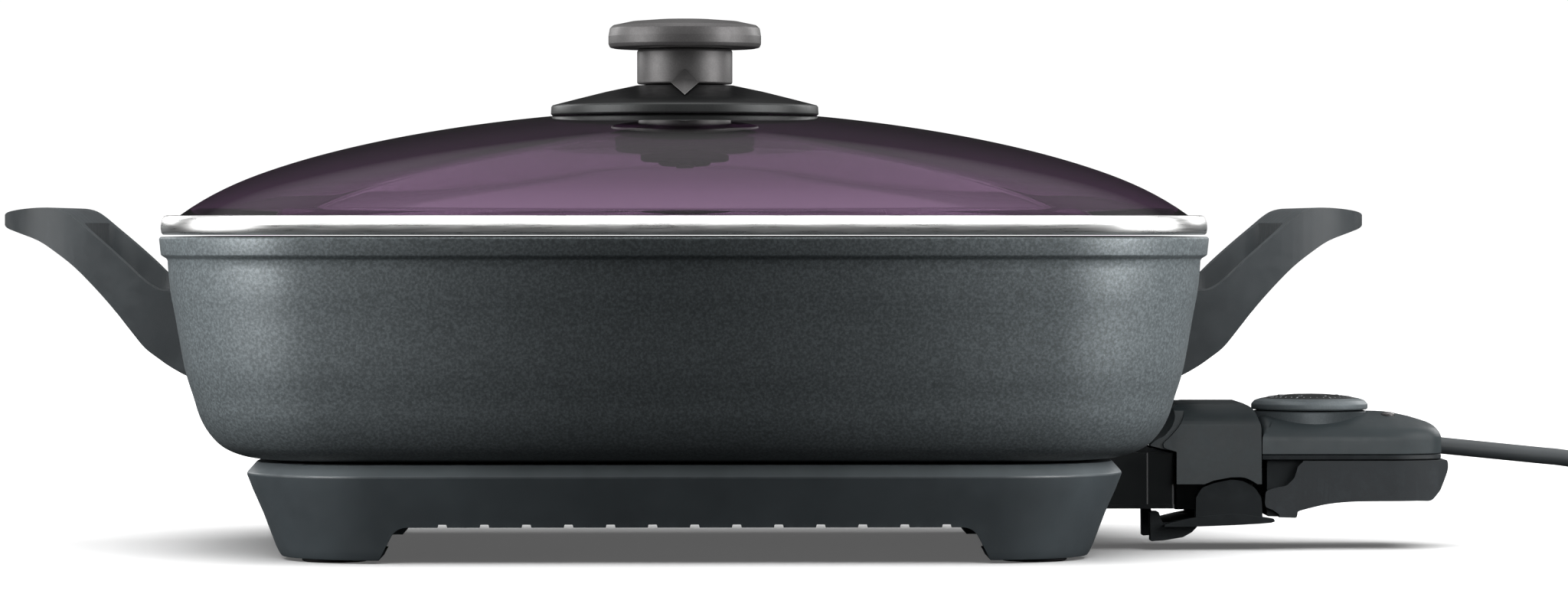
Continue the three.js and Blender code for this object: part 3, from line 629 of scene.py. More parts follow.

# tie: a strap round both sides of the coil's section, with its buckle
hw, ztop = (R_OUT - R_IN) / 2 + 3.2, Z1 + DZ + 3.2
rm = (R_IN + R_OUT) / 2
sec = rrect(hw + 0.9, (ztop + 0.9) / 2 + 0.0, 2.6, 6, 0, (ztop + 0.9) / 2 + 0.08)
sec_in = rrect(hw + 0.12, (ztop - 0.6) / 2, 2.0, 6, 0, (ztop + 0.9) / 2 + 0.08)
rings = []
for x, rr_ in ((-4.6, 0), (-4.1, 0.25), (4.1, 0.25), (4.6, 0)):
    rings.append([(x, a_ * (1 + rr_ * 0.01), max(0.06, b_)) for a_, b_ in sec])
for x in (4.6, -4.6):
    rings.append([(x, a_, b_) for a_, b_ in sec_in])
tie = loft("tie_strap", rings, cyclic=True)
buckle = prism("tie_b", fil([(-3.0, ztop + 1.0), (3.0, ztop + 1.0), (2.6, ztop + 2.6, 0.8), (-2.6, ztop + 2.6, 0.8)], True), "x", -5.6, 5.6)
bevel(buckle, 0.3, 2)
tie = join("cord_tie_strap", [tie, buckle])
turn(tie, Matrix.Translation((COIL_X, COIL_Y, 0)) @ Matrix.Rotation(math.radians(-20), 4, "Z") @ Matrix.Translation((0, rm, 0)))
place(tie, M_TIE, "controller", "cord_jacket", "cord_tie", sharp=40)


# ------------------------------------------------------------------ floor and light
def light(name, loc, aim, size, power, size_y=None, colour=(1, 1, 1)):
    d = bpy.data.lights.new(name, "AREA")
    d.shape = "RECTANGLE"
    d.size, d.size_y = size, size_y or size
    d.energy = power
    d.color = colour
    o = bpy.data.objects.new(name, d)
    scene.collection.objects.link(o)
    o.location = loc
    o.rotation_mode = "QUATERNION"
    o.rotation_quaternion = (Vector(aim) - Vector(loc)).to_track_quat("-Z", "Y")
    return o


fl_me = bpy.data.meshes.new("floor")
fl_me.from_pydata([(-4, -3.0, 0), (4, -3.0, 0), (4, 6.0, 0), (-4, 6.0, 0)], [], [(0, 1, 2, 3)])
floor = bpy.data.objects.new("floor", fl_me)
scene.collection.objects.link(floor)
fm, fnt, fb, fco = new_mat("floor_pale")
fout = [n for n in fnt.nodes if n.type == "OUTPUT_MATERIAL"][0]
fn = noise(fnt, fco, 6.0, 3.0, 0.5)
fnt.links.new(ramp(fnt, fn, [(0.3, 0.86), (0.7, 0.88)]), fb.inputs["Base Color"])
fb.inputs["Roughness"].default_value = 0.9
fb.inputs["Specular IOR Level"].default_value = 0.1
dark = fnt.nodes.new("ShaderNodeBsdfDiffuse")
dark.inputs["Color"].default_value = (0.02, 0.021, 0.022, 1)
lp = fnt.nodes.new("ShaderNodeLightPath")
mx = fnt.nodes.new("ShaderNodeMath")
mx.operation = "MAXIMUM"
fnt.links.new(lp.outputs["Is Camera Ray"], mx.inputs[0])
fnt.links.new(lp.outputs["Is Transmission Ray"], mx.inputs[1])
ms = fnt.nodes.new("ShaderNodeMixShader")
fnt.links.new(mx.outputs[0], ms.inputs[0])
fnt.links.new(dark.outputs[0], ms.inputs[1])
fnt.links.new(fb.outputs[0], ms.inputs[2])
fnt.links.new(ms.outputs[0], fout.inputs["Surface"])
fl_me.materials.append(fm)

world = bpy.data.worlds.new("studio")
scene.world = world
world.use_nodes = True
wn = world.node_tree
wn.nodes.clear()
wo = wn.nodes.new("ShaderNodeOutputWorld")
wt = wn.nodes.new("ShaderNodeTexCoord")
ws = wn.nodes.new("ShaderNodeSeparateXYZ")
wn.links.new(wt.outputs["Generated"], ws.inputs[0])
wr = wn.nodes.new("ShaderNodeValToRGB")
for e, (p_, c_) in zip([wr.color_ramp.elements[0], wr.color_ramp.elements[1], wr.color_ramp.elements.new(0.5), wr.color_ramp.elements.new(0.7)],
                       [(0.0, 0.02), (1.0, 0.16), (0.2, 0.03), (0.5, 0.08)]):
    e.position = p_
    e.color = (c_, c_, c_ * 1.01, 1)
wn.links.new(ws.outputs["Z"], wr.inputs["Fac"])
bg1 = wn.nodes.new("ShaderNodeBackground")
wn.links.new(wr.outputs["Color"], bg1.inputs["Color"])
bg1.inputs["Strength"].default_value = 1.0
bg2 = wn.nodes.new("ShaderNodeBackground")
bg2.inputs["Color"].default_value = (1, 1, 1, 1)
bg2.inputs["Strength"].default_value = 1.05
wl = wn.nodes.new("ShaderNodeLightPath")
wm = wn.nodes.new("ShaderNodeMath")
wm.operation = "MAXIMUM"
wn.links.new(wl.outputs["Is Camera Ray"], wm.inputs[0])
wq = wn.nodes.new("ShaderNodeMapRange")
wn.links.new(ws.outputs["Z"], wq.inputs["Value"])
for k_, v_ in (("From Min", 0.08), ("From Max", 0.22), ("To Min", 1.0), ("To Max", 0.62)):
    wq.inputs[k_].default_value = v_
wp = wn.nodes.new("ShaderNodeMath")
wp.operation = "MULTIPLY"
wn.links.new(wl.outputs["Is Transmission Ray"], wp.inputs[0])
wn.links.new(wq.outputs["Result"], wp.inputs[1])
wn.links.new(wp.outputs[0], wm.inputs[1])
wx = wn.nodes.new("ShaderNodeMixShader")
wn.links.new(wm.outputs[0], wx.inputs[0])
wn.links.new(bg1.outputs[0], wx.inputs[1])
wn.links.new(bg2.outputs[0], wx.inputs[2])
wn.links.new(wx.outputs[0], wo.inputs["Surface"])

side_l = light("soft_left", (-0.95, -0.36, 0.36), (-0.05, 0.0, 0.09), 0.8, 6.6, 0.8)
side_r = light("soft_right", (0.95, -0.36, 0.36), (0.05, 0.0, 0.09), 0.8, 7.0, 0.8)
pan_l = light("pan_left", (-0.376, -0.33, 0.15), (-0.256, -0.06, 0.088), 0.16, 0.9, 0.16)
pan_r = light("pan_right", (0.345, -0.33, 0.15), (0.225, -0.06, 0.088), 0.16, 0.9, 0.16)
for l_ in (pan_l, pan_r):
    l_.data.spread = math.radians(82)
top_l = light("soft_top", (0.0, -0.10, 0.95), (0.0, 0.0, 0.05), 1.5, 10.0, 0.7)
rim_l = light("rim_front", (0.0, -1.0, 0.85), (0.0, -0.1, 0.12), 2.6, 26.5, 0.5)
ctl_l = light("low_front", (0.30, -0.80, 0.17), (0.25, 0.0, 0.035), 0.6, 2.7, 0.16)
back_l = light("soft_back_left", (-0.9, 0.8, 0.55), (0, 0, 0.08), 0.6, 4.0)
back_r = light("soft_back_right", (0.9, 0.8, 0.55), (0, 0, 0.08), 0.6, 4.0)

sun_d = bpy.data.lights.new("floor_wash", "SUN")
sun_d.energy = 4.3
sun_d.angle = math.radians(72)
lift = bpy.data.objects.new("floor_wash", sun_d)
scene.collection.objects.link(lift)
lift.rotation_euler = (math.radians(24), 0, 0)
fill_d = bpy.data.lights.new("floor_fill", "SUN")
fill_d.energy = 0.38
fill_d.use_shadow = False
fill = bpy.data.objects.new("floor_fill", fill_d)
scene.collection.objects.link(fill)


def reach(lamp, objs, keep=True):
    """Limits a lamp to these objects, or keeps it off them."""
    c = bpy.data.collections.new(lamp.name + "_set")
    for o_ in objs:
        c.objects.link(o_)
    if not keep:
        for k_ in c.collection_objects:
            k_.light_linking.link_state = "EXCLUDE"
    lamp.light_linking.receiver_collection = c


reach(lift, [floor])
reach(fill, [floor])

# ------------------------------------------------------------------ pan
PAN_OUT = [(150, 36.8), (160, 38.1), (167.6, 41.2), (172.6, 46), (176.2, 52.3), (178.6, 60), (181.7, 70.7), (184.8, 88.6), (186.6, 98.6), (187.5, 108)]
PAN_IN = [(186.0, 117.6), (184.2, 112), (182.6, 98), (180.8, 88), (177.6, 70), (174.4, 60), (171.5, 52.5), (167, 46.5), (160, 42.4), (150, 41.3)]


def pan_ring(hx, z, grow=0.0):
    return at_z(rrect(hx + grow, hx - 40 + grow, 55 - (190.6 - hx) * 0.55, 20), z)


out_prof = smooth_pts(PAN_OUT, 5)[:-1] + [(187.55, 109.6)]
lip = fil([(187.55, 109.6), (188.0, 110.4, 0.5), (189.9, 111.6, 0.9), (190.6, 118.25, 0.9), (186.4, 118.25, 0.9), (185.6, 116.0)], False, 5)
in_prof = smooth_pts([(185.6, 116.0)] + PAN_IN[1:], 5)
prof = out_prof + lip[1:] + in_prof[1:]
pan = loft("pan_body", [pan_ring(hx, z) for hx, z in prof])
place(pan, M_PAN, "pan_unit", "pan_coating", "pan", sharp=40)


def pan_cutter(gap):
    """The pan's outer form grown by a gap, to trim what stands against it."""
    pr = smooth_pts(PAN_OUT, 2)
    rings = [pan_ring(pr[0][0], 20.0, gap - 40)] + [pan_ring(hx, z - 0.4 * (z < 50), gap) for hx, z in pr] + [pan_ring(190.6, 112, gap), pan_ring(190.6, 140, gap)]
    rings[0] = pan_ring(pr[0][0], pr[0][1] - gap, gap)
    return loft("cutter", rings)


# ------------------------------------------------------------------ base
def base_ring(hx, z, inset=0.0):
    r = 40 + (46 - 40) * (hx - 148.8) / 12.0
    return at_z(rrect(hx - inset, hx - 39.8 - inset, r - inset, 16), z)


bprof = fil([(148.2, 1.25, 0.9), (148.9, 2.2), (150.2, 5.0), (154.6, 17.0), (158.4, 26.0), (160.6, 31.9, 1.2), (156.9, 36.1, 1.2)], False, 4)
bprof = [(147.4, 1.2)] + [(a_, b_) for a_, b_ in bprof]
base = loft("base_shell", [base_ring(hx, z) for hx, z in bprof])
inner = loft("c", [base_ring(146.0, 4.2), base_ring(151.5, 18.0), base_ring(155.6, 31.0, 0.4), base_ring(153.0, 33.2, 0.4)])
boolean(base, inner)
boolean(base, prism("c", rrect(126, 92, 30, 8), "z", 25, 45))


def arch(h, w0, w1, r=6.5, shift=0.0):
    return fil([(-w1 + shift, -3), (w1 + shift, -3), (w0 + 0.6 + shift, h, r), (-w0 - 0.6 + shift, h, r)], True, 8)


boolean(base, prism("c", arch(13.4, 103.6, 112.8), "y", -140, 140))
boolean(base, prism("c", arch(13.4, 63.0, 71.5), "x", -180, 180))
boolean(base, prism("c", rrect(17, 28.4, 1.5, 3, 157.5, 0), "z", 15.4, 36.6))
for k in range(13):
    boolean(base, prism("c", fil([(-87.4 + 15.16 * k - 1.9, 12.6), (-87.4 + 15.16 * k + 1.9, 12.6), (-87.4 + 15.16 * k + 1.5, 14.5, 0.3), (-87.4 + 15.16 * k - 1.5, 14.5, 0.3)]), "y", -140, -100))
for x, y in ((138, 58), (-138, 58), (138, -58), (-138, -58)):
    boolean(base, lathe("c", [(0, 25), (2.3, 25), (2.3, 45), (0, 45)], 16, x, y, closed=False))
bevel(base, 0.45, 2, 40)
# Upward-facing faces of the top shoulder take the lighter band material: painted highlight, not a different plastic.
for f in base.data.polygons:
    f.material_index = 1 if (f.normal.z > 0.35 and f.center.z > 31.0 and math.hypot(f.normal.x, f.normal.y) > 0.25) else 0
idx = [f.material_index for f in base.data.polygons]
place(base, M_BASE, "pan_unit", "base_plastic", "base", sharp=30, weighted=True, mats=[M_BASE, M_BASE_TOP_PAINTED_HIGHLIGHT])
for f, i_ in zip(base.data.polygons, idx):
    f.material_index = i_

FOOT = {"left_near": (-127.5, -88), "left_far": (-127.5, 88), "right_near": (127.5, -88), "right_far": (127.5, 88)}
for n, (x, y) in FOOT.items():
    pr = fil([(0, 0.35), (3.5, 0.35, 0.2), (4.0, 0.05, 0.2), (6.0, 0.05, 0.2), (6.5, 0.5, 0.2), (8.0, 0.5, 0.2), (8.5, 0.02, 0.2), (11.3, 0.02, 0.4), (12.0, 0.5, 0.3), (12.0, 1.15), (0, 1.15)], False, 3)
    place(lathe("pad_" + n, pr, 56, x, y, closed=False), M_RUBBER, "pan_unit", "foot_rubber", "foot_pad_" + n)


def cross_screw(name, head_r, head_h, shank_r, depth):
    """Pan head with a cross recess: head top at z = 0, shank below."""
    pr = fil([(0, 0), (head_r * 0.72, 0, head_h * 0.5), (head_r, -head_h * 0.75, head_h * 0.2), (head_r, -head_h, 0.15), (shank_r, -head_h, 0), (shank_r, -depth, 0.3), (0, -depth)], False, 4)
    s = lathe(name, pr, 40, closed=False)
    for k in (0, 1):
        c = prism("c", rrect(head_r * 0.5, head_r * 0.11, 0.05, 2), "z", -head_h * 0.62, 1.0)
        turn(c, Matrix.Rotation(k * PI / 2, 4, "Z"))
        boolean(s, c)
    return s


BS = [(138, 58), (-138, 58), (138, -58), (-138, -58)]
for i in range(1, 5):
    lo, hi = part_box("base_screw_%d" % i)
    x, y = (lo.x + hi.x) * 500 - CX, (lo.y + hi.y) * 500
    s = cross_screw("base_fixing_%d" % i, 4.0, 2.2, 2.0, 10.5)
    turn(s, Matrix.Translation((x, y, 28.35)) @ Matrix.Rotation(PI, 4, "X"))
    place(s, M_SCREW, "pan_unit", "steel_screw", "base_screw_%d" % i, sharp=38)
for i in range(1, 5):
    lo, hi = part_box("handle_screw_%d" % i)
    y = (lo.y + hi.y) * 500
    right = lo.x * 1000 - CX > 0
    s = cross_screw("handle_fixing_%d" % i, 4.0, 2.2, 2.0, max(8.0, (hi.x - lo.x) * 1000 - 0.1))
    turn(s, Matrix.Rotation(PI / 2 if right else -PI / 2, 4, "Y"))
    turn(s, Matrix.Translation((hi.x * 1000 - CX if right else lo.x * 1000 - CX, y, 84)))
    place(s, M_SCREW, "pan_unit", "steel_screw", "handle_screw_%d" % i, sharp=38)

# ------------------------------------------------------------------ handles
H_LOW = [(180, 65.8), (183.7, 67), (189.6, 70.3), (194.3, 73.6), (199, 77.3), (203.7, 83), (210.7, 91.9), (217.7, 99.8), (224.8, 106.9), (231.8, 112.3), (238.8, 116.7), (247.3, 119.7), (252.4, 121.4), (255.3, 123.4)]
H_TOP = [(255.3, 125.4), (253.2, 126.9), (250, 127.8), (244, 128.6), (237, 129), (231.8, 128.7), (227.4, 126.9), (221, 121.6), (213, 114.8), (206, 108.5), (201.3, 103.9), (197.4, 100.6), (193.6, 98.6), (188, 98.2), (180, 98.0)]


def handle(name):
    side = smooth_pts(H_LOW, 3) + smooth_pts(H_TOP, 3)
    h = prism(name, side, "y", -64, 64)
    plan = [(170, -64), (200, -64)]
    for k in range(15):
        t = PI / 2 * k / 14
        plan.append((216 + 38.4 * math.sin(t), -27 - 36.6 * math.cos(t)))
    plan.append((255.6, -12))
    plan = plan + [(x, -y) for x, y in plan[::-1]]
    boolean(h, prism("c", plan, "z", 50, 140), "INTERSECT")
    boolean(h, prism("c", rrect(14.5, 54, 11, 10, 208.5, 0), "z", 50, 140))
    boolean(h, pan_cutter(0.35))
    for y in (-34, 34):
        boolean(h, turn(lathe("c", [(0, 0), (4.6, 0), (4.6, 30), (0, 30)], 28, closed=False), Matrix.Translation((191.6, y, 84)) @ Matrix.Rotation(PI / 2, 4, "Y")))
    bevel(h, 0.9, 3, 38)
    return h


hr = handle("handle_right_loop")
hl = handle("handle_left_loop")
turn(hl, Matrix.Rotation(PI, 4, "Z"))
place(hr, M_HANDLE, "pan_unit", "handle_plastic", "handle_right", sharp=32, weighted=True)
place(hl, M_HANDLE, "pan_unit", "handle_plastic", "handle_left", sharp=32, weighted=True)

# ------------------------------------------------------------------ lid
def rim_ring(d, z):
    return at_z(rrect(190 - d, 150 - d, 55 - d, 20), z)


sec = fil([(0.9, 119.0, 0.3), (0.25, 119.7, 0.5), (0.0, 121.4), (0.12, 122.9), (0.5, 124.5), (1.15, 125.7, 0.8), (2.2, 126.0, 0.4), (6.6, 126.0, 0.25), (6.6, 125.1, 0.2), (1.3, 125.1, 0.3), (1.3, 120.0, 0.3), (6.6, 120.0, 0.2), (6.6, 119.0, 0.25)], True, 4)
rim = loft("lid_band", [rim_ring(d, z) for d, z in sec], cyclic=True)
place(rim, M_RIM, "lid", "rim_steel", "lid_rim", sharp=50)


def dome_z(x):
    return 166.1 - 8.98e-4 * x * x - 2.1e-13 * x ** 6 - max(0.0, x - 150) ** 3 * 5.8e-5


def dome_ring(u, dz, n=20):
    X = 183.0 * u
    w = smoothstep(0.25, 1.0, u)
    Y = X * (1 - (1 - 143 / 183.0) * w)
    r = min(X, Y) * (1 - w) + 48 * w
    return at_z(rrect(X, Y, r, n), dome_z(X) + dz)


us = [0.042, 0.06, 0.09] + [0.09 + 0.91 * (i / 44.0) for i in range(1, 45)]
g = [dome_ring(u, 0) for u in us]
g += [rim_ring(7.0, 124.5), rim_ring(1.9, 124.7), rim_ring(1.7, 124.4), rim_ring(1.7, 120.8), rim_ring(2.0, 120.5), rim_ring(9.2, 120.5)]
g += [dome_ring(u * 0.985 if u > 0.2 else u, -4) for u in us[::-1]]
glass = loft("lid_dome", g, cyclic=True)
place(glass, M_GLASS, "lid", "tinted_glass", "lid_glass", sharp=50)

collar = lathe("lid_collar", fil([(6.05, 166.5), (30, 165.6), (50.2, 164.0, 0.3), (50.85, 164.6, 0.4), (50.7, 167.4, 0.5), (50.1, 168.0)], False, 4) +
               fil([(50.1, 168.0), (40, 170.6), (30, 173.1), (18.6, 175.5, 0.3), (6.05, 175.6), (6.05, 166.5)], False, 3)[1:-1], 128)
for f in collar.data.polygons:
    zc = sum(collar.data.vertices[v].co.z for v in f.vertices) / len(f.vertices)
    rc = max(math.hypot(collar.data.vertices[v].co.x, collar.data.vertices[v].co.y) for v in f.vertices)
    f.material_index = 1 if (zc < 168.0 and rc > 50.0) else 0
idx = [f.material_index for f in collar.data.polygons]
place(collar, M_CONE, "lid", "black_plastic", "knob_collar", sharp=45, mats=[M_CONE, M_RING])
for f, i_ in zip(collar.data.polygons, idx):
    f.material_index = i_
place(lathe("dome_gasket", fil([(8, 158.9, 0.2), (26.3, 158.9, 0.9), (26.3, 160.9, 0.8), (22, 161.5, 0.4), (8, 161.6, 0.2)], True, 3), 96), M_SILICONE, "lid", "silicone", "lid_gasket", sharp=45)
place(lathe("vent_disc", fil([(6.05, 152, 0.2), (15.6, 152, 0.3), (16.75, 152.9, 0.6), (16.75, 156.2, 0.5), (15.8, 156.8, 0.4), (11, 156.8, 0.8), (11, 158.5, 0.2), (6.05, 158.5, 0.2)], True, 4), 96), M_VENT, "lid", "black_plastic", "vent_plate", sharp=45)

# ------------------------------------------------------------------ vent knob
place(lathe("knob_neck", fil([(2.8, 151.7, 0.2), (5.98, 151.7, 0.3), (5.98, 176, 0.2), (17.7, 176, 0.4), (18.1, 176.6, 0.4), (18.1, 188.4, 0.5), (17.5, 189.2, 0.3), (2.8, 189.2, 0.2)], True, 4), 128), M_KNOB, "vent_knob", "knob_satin", "knob_stem", sharp=40)
cap_p = fil([(0, 189.5), (26.6, 189.5, 0.6), (28.4, 189.9, 0.8), (29.0, 191.3, 0.9), (29.02, 194.2, 0.5), (28.5, 197.2, 0.9), (27.2, 198.4, 1.0), (20, 199.9, 4), (10, 200.65, 6), (0, 200.8)], False, 6)
cap = place(lathe("knob_top", cap_p, 144, closed=False), M_KNOB, "vent_knob", "knob_satin", "knob_cap", sharp=40)
def cone_z(r):
    return 175.5 - (r - 18.6) * (7.5 / 31.5)


# folded diamond: its upper half stands on the neck, its lower half lies over the cone
front = [(0, -18.75, 181.3), (-5.4, -19.6, 175.95), (0, -41.0, cone_z(41.0) + 0.75), (5.4, -19.6, 175.95), (0, -22.4, 177.2)]
back = [(0, -18.2, 180.9), (-5.1, -18.2, 175.8), (0, -40.5, cone_z(40.5) + 0.3), (5.1, -18.2, 175.8), (0, -19.8, cone_z(19.8) + 0.32)]
po = make("knob_marker", front + back, [(0, 1, 4), (1, 2, 4), (2, 3, 4), (3, 0, 4), (5, 9, 6), (6, 9, 7), (7, 9, 8), (8, 9, 5), (0, 5, 6, 1), (1, 6, 7, 2), (2, 7, 8, 3), (3, 8, 5, 0)])
po.data.transform(Matrix.Translation((0, 0, 0.4)))
bevel(po, 0.28, 3, 12)
place(po, M_MARK, "vent_knob", "knob_satin", "knob_pointer", sharp=30)
sh = lathe("vent_slider", fil([(4.2, 149.3, 0.3), (8.6, 149.3, 0.9), (10.0, 150.6, 0.5), (10.0, 151.4, 0.2), (4.2, 151.4, 0.2)], True, 4), 72)
for k in range(6):
    t = k * PI / 3
    boolean(sh, lathe("c", [(0, 145), (1.35, 145), (1.35, 155), (0, 155)], 16, 6.9 * math.cos(t), 6.9 * math.sin(t), closed=False))
for k in range(12):
    t = (k + 0.5) * PI / 6
    boolean(sh, lathe("c", [(0, 145), (0.8, 145), (0.8, 155), (0, 155)], 12, 10.2 * math.cos(t), 10.2 * math.sin(t), closed=False))
place(sh, M_VENT, "vent_knob", "black_plastic", "vent_shutter", sharp=34)
ks = cross_screw("knob_fixing", 3.8, 1.1, 2.4, 37.5)
turn(ks, Matrix.Translation((0, 0, 148.1)) @ Matrix.Rotation(PI, 4, "X"))
place(ks, M_SCREW, "vent_knob", "steel_screw", "knob_screw", sharp=38)


# generic vent marks on the cone: an open slot and a closed one, either side of the pointer
def cone_mark(name, ang, solid_):
    parts = []
    for da, w in ((-4.6, 0.55), (0.0, 0.55), (4.6, 0.55)) if solid_ else ((-3.0, 0.5), (3.0, 0.5)):
        rings = []
        for r0 in (29.5, 30.5, 36.5, 37.5):
            t = math.radians(ang + da * 0.9)
            wv = w if r0 in (30.5, 36.5) else w * 0.4
            c, s = math.cos(t), math.sin(t)
            z = cone_z(r0)
            rings.append([(r0 * c - s * q * wv, r0 * s + c * q * wv, z + h) for q, h in ((-1, -0.12), (1, -0.12), (0.8, 0.12), (-0.8, 0.12))])
        parts.append(loft("m", rings))
    return join(name, parts)


for n, ang, so in (("vent_mark_open", -50, True), ("vent_mark_closed", -130, False)):
    place(cone_mark(n, ang, so), M_INK, "lid", "black_plastic", sharp=40)


# ------------------------------------------------------------------ controller
DIAL_X = 237.8


def ctl_plan(grow=0.0, n=8):
    return fil([(217.3, -26.7 - grow), (271 , -26.7 - grow, 26), (286.6 + grow, -19.5, 16), (286.7 + grow, 19.5, 16), (271, 26.7 + grow, 26), (217.3, 26.7 + grow)], True, 14)


def ridge(x):
    pts = [(217.3, 51.9), (258, 51.9), (263, 51.8), (267.8, 51.5), (275.6, 49.8), (281.8, 47.9), (286.7, 45.6)]
    for (a_, b_), (c_, d_) in zip(pts, pts[1:]):
        if x <= c_:
            return b_ + (d_ - b_) * max(0.0, (x - a_) / (c_ - a_))
    return pts[-1][1]


def roof(x, y):
    return ridge(x) - 7.0 * (abs(y) / 26.7) ** 2.1 * (1 - 0.35 * smoothstep(262, 286, x))


def outline_dense(pts, step=2.6):
    out = []
    n = len(pts)
    for i in range(n):
        a_, b_ = Vector(pts[i]), Vector(pts[(i + 1) % n])
        k = max(1, int((b_ - a_).length / step))
        for j in range(k):
            out.append(tuple(a_ + (b_ - a_) * j / k))
    return out


def inset(pts, d):
    """Moves a counter-clockwise outline inward by d."""
    out = []
    n = len(pts)
    for i in range(n):
        a_, b_, c_ = Vector(pts[i - 1]), Vector(pts[i]), Vector(pts[(i + 1) % n])
        e1, e2 = (b_ - a_).normalized(), (c_ - b_).normalized()
        n1, n2 = Vector((-e1.y, e1.x)), Vector((-e2.y, e2.x))
        m_ = n1 + n2
        if m_.length < 1e-6:
            m_ = n1
        m_ = m_.normalized()
        out.append(tuple(b_ + m_ * (d / max(0.35, m_.dot(n1)))))
    return out


plan0 = outline_dense(ctl_plan())
FR = 3.2
rings = []
rings.append([(x, y, 36.15) for x, y in inset(plan0, 0.25)])
rings.append([(x, y, 36.4) for x, y in plan0])
edge_in = inset(plan0, FR)


def roof_at(x, y):
    return roof(x, y)


rings.append([(x, y, roof(x, y) - FR - 0.6) for x, y in plan0])
for k in range(1, 7):
    t = PI / 2 * k / 6
    d = FR * (1 - math.cos(t))
    rings.append([(x, y, roof(x, y) - FR * (1 - math.sin(t))) for x, y in inset(plan0, d)])
cxx = 246.0
for f in (0.93, 0.85, 0.75, 0.62, 0.48, 0.34, 0.2, 0.08):
    row = []
    for x, y in edge_in:
        ax = min(max(x, 228.0), 262.0)
        xx, yy = ax + (x - ax) * f, y * f
        xx = x + (xx - x) * 1.0
        row.append((xx, yy, roof(xx, yy)))
    rings.append(row)
hull = loft("housing_upper", rings)
boolean(hull, turn(lathe("c", [(0, 0), (3.9, 0), (3.9, 16), (0, 16)], 36, closed=False), Matrix.Translation((278, 0, 38.6)) @ Matrix.Rotation(PI / 2, 4, "Y")))
boolean(hull, lathe("c", fil([(0, 40), (21.95, 40), (21.95, 60), (0, 60)], False), 96, DIAL_X, 0, closed=False))
boolean(hull, lathe("c", [(0, 45), (2.75, 45), (2.75, 60), (0, 60)], 32, 266.5, -10, closed=False))
boolean(hull, lathe("c", [(0, 43.9), (4.9, 43.9), (4.9, 46.7), (0, 46.7)], 48, DIAL_X, 0, closed=False))
place(hull, M_CTRL, "controller", "controller_plastic", "housing_top", sharp=42)

# dial seat: a turned collar that fills the crowned roof up to the dial
seat = lathe("dial_seat", fil([(4.9, 41.0), (21.7, 41.0, 0.2), (21.7, 51.7, 0.35), (20.8, 52.05, 0.2), (3.1, 52.05), (3.1, 46.7), (4.9, 46.7)], True, 4), 128, DIAL_X, 0)
place(seat, M_DIALRING, "controller", "dial_ring_satin", sharp=45)

ring_o = lathe("dial_rim", fil([(18.15, 52.45, 0.2), (21.6, 52.45, 0.3), (22.1, 52.9, 0.4), (22.15, 54.5, 0.9), (20.9, 55.9, 1.6), (18.3, 56.75, 0.25), (18.15, 56.5)], True, 6), 160, DIAL_X, 0)
place(ring_o, M_DIALRING, "dial", "dial_ring_satin", "dial_ring", sharp=45)
disc = lathe("dial_face", fil([(3.05, 52.6, 0.2), (17.9, 52.6, 0.3), (17.95, 56.7, 0.25), (14, 57.55, 4), (7, 58.15, 6), (3.05, 58.2, 0.1)], True, 6), 128, DIAL_X, 0)
place(disc, M_DIALFACE, "dial", "dial_face", "dial_disc", sharp=45)
spn = lathe("dial_shaft", fil([(0, 44.4), (4.6, 44.4, 0.3), (4.6, 46.2, 0.3), (3, 46.2), (3, 57.95, 0.3), (0, 57.95)], False, 3), 48, DIAL_X, 0, closed=False)
place(spn, M_DIALFACE, "dial", "dial_face", "dial_spindle", sharp=38)


def dial_top(r):
    return 58.2 - 0.05 * (max(0, r - 3) / 4) if r < 7 else (58.15 - 0.6 * (r - 7) / 7 if r < 14 else 57.55 - 0.85 * (r - 14) / 3.95)


marks = []
for k, txt in enumerate(["0", "1", "2", "3", "4", "5"]):
    t = math.radians(-115 + k * 46)
    tc = bpy.data.curves.new("t", "FONT")
    tc.body = txt
    tc.size = 3.6
    tc.align_x, tc.align_y = "CENTER", "CENTER"
    tc.extrude = 0.10
    tc.resolution_u = 4
    to = bpy.data.objects.new("t", tc)
    scene.collection.objects.link(to)
    dg = bpy.context.evaluated_depsgraph_get()
    dg.update()
    me = bpy.data.meshes.new_from_object(to.evaluated_get(dg))
    bpy.data.objects.remove(to)
    r = 11.6
    a_ = t - PI / 2
    me.transform(Matrix.Translation((DIAL_X + r * math.cos(a_), r * math.sin(a_), dial_top(r) + 0.02)) @ Matrix.Rotation(a_ + PI / 2, 4, "Z"))
    o_ = bpy.data.objects.new("n", me)
    scene.collection.objects.link(o_)
    marks.append(o_)
for k in range(26):
    t = math.radians(-115 + k * 9.2) - PI / 2
    r0, r1 = 15.0, (16.6 if k % 5 == 0 else 15.9)
    w = 0.22 if k % 5 == 0 else 0.13
    rr_ = []
    for r in (r0, r1):
        c, s = math.cos(t), math.sin(t)
        rr_.append([(DIAL_X + r * c - s * q, r * s + c * q, dial_top(r) + h) for q, h in ((-w, -0.1), (w, -0.1), (w, 0.1), (-w, 0.1))])
    marks.append(loft("m", rr_))
mk = join("dial_numbers", marks)
place(mk, M_INK, "dial", "dial_face", sharp=30)

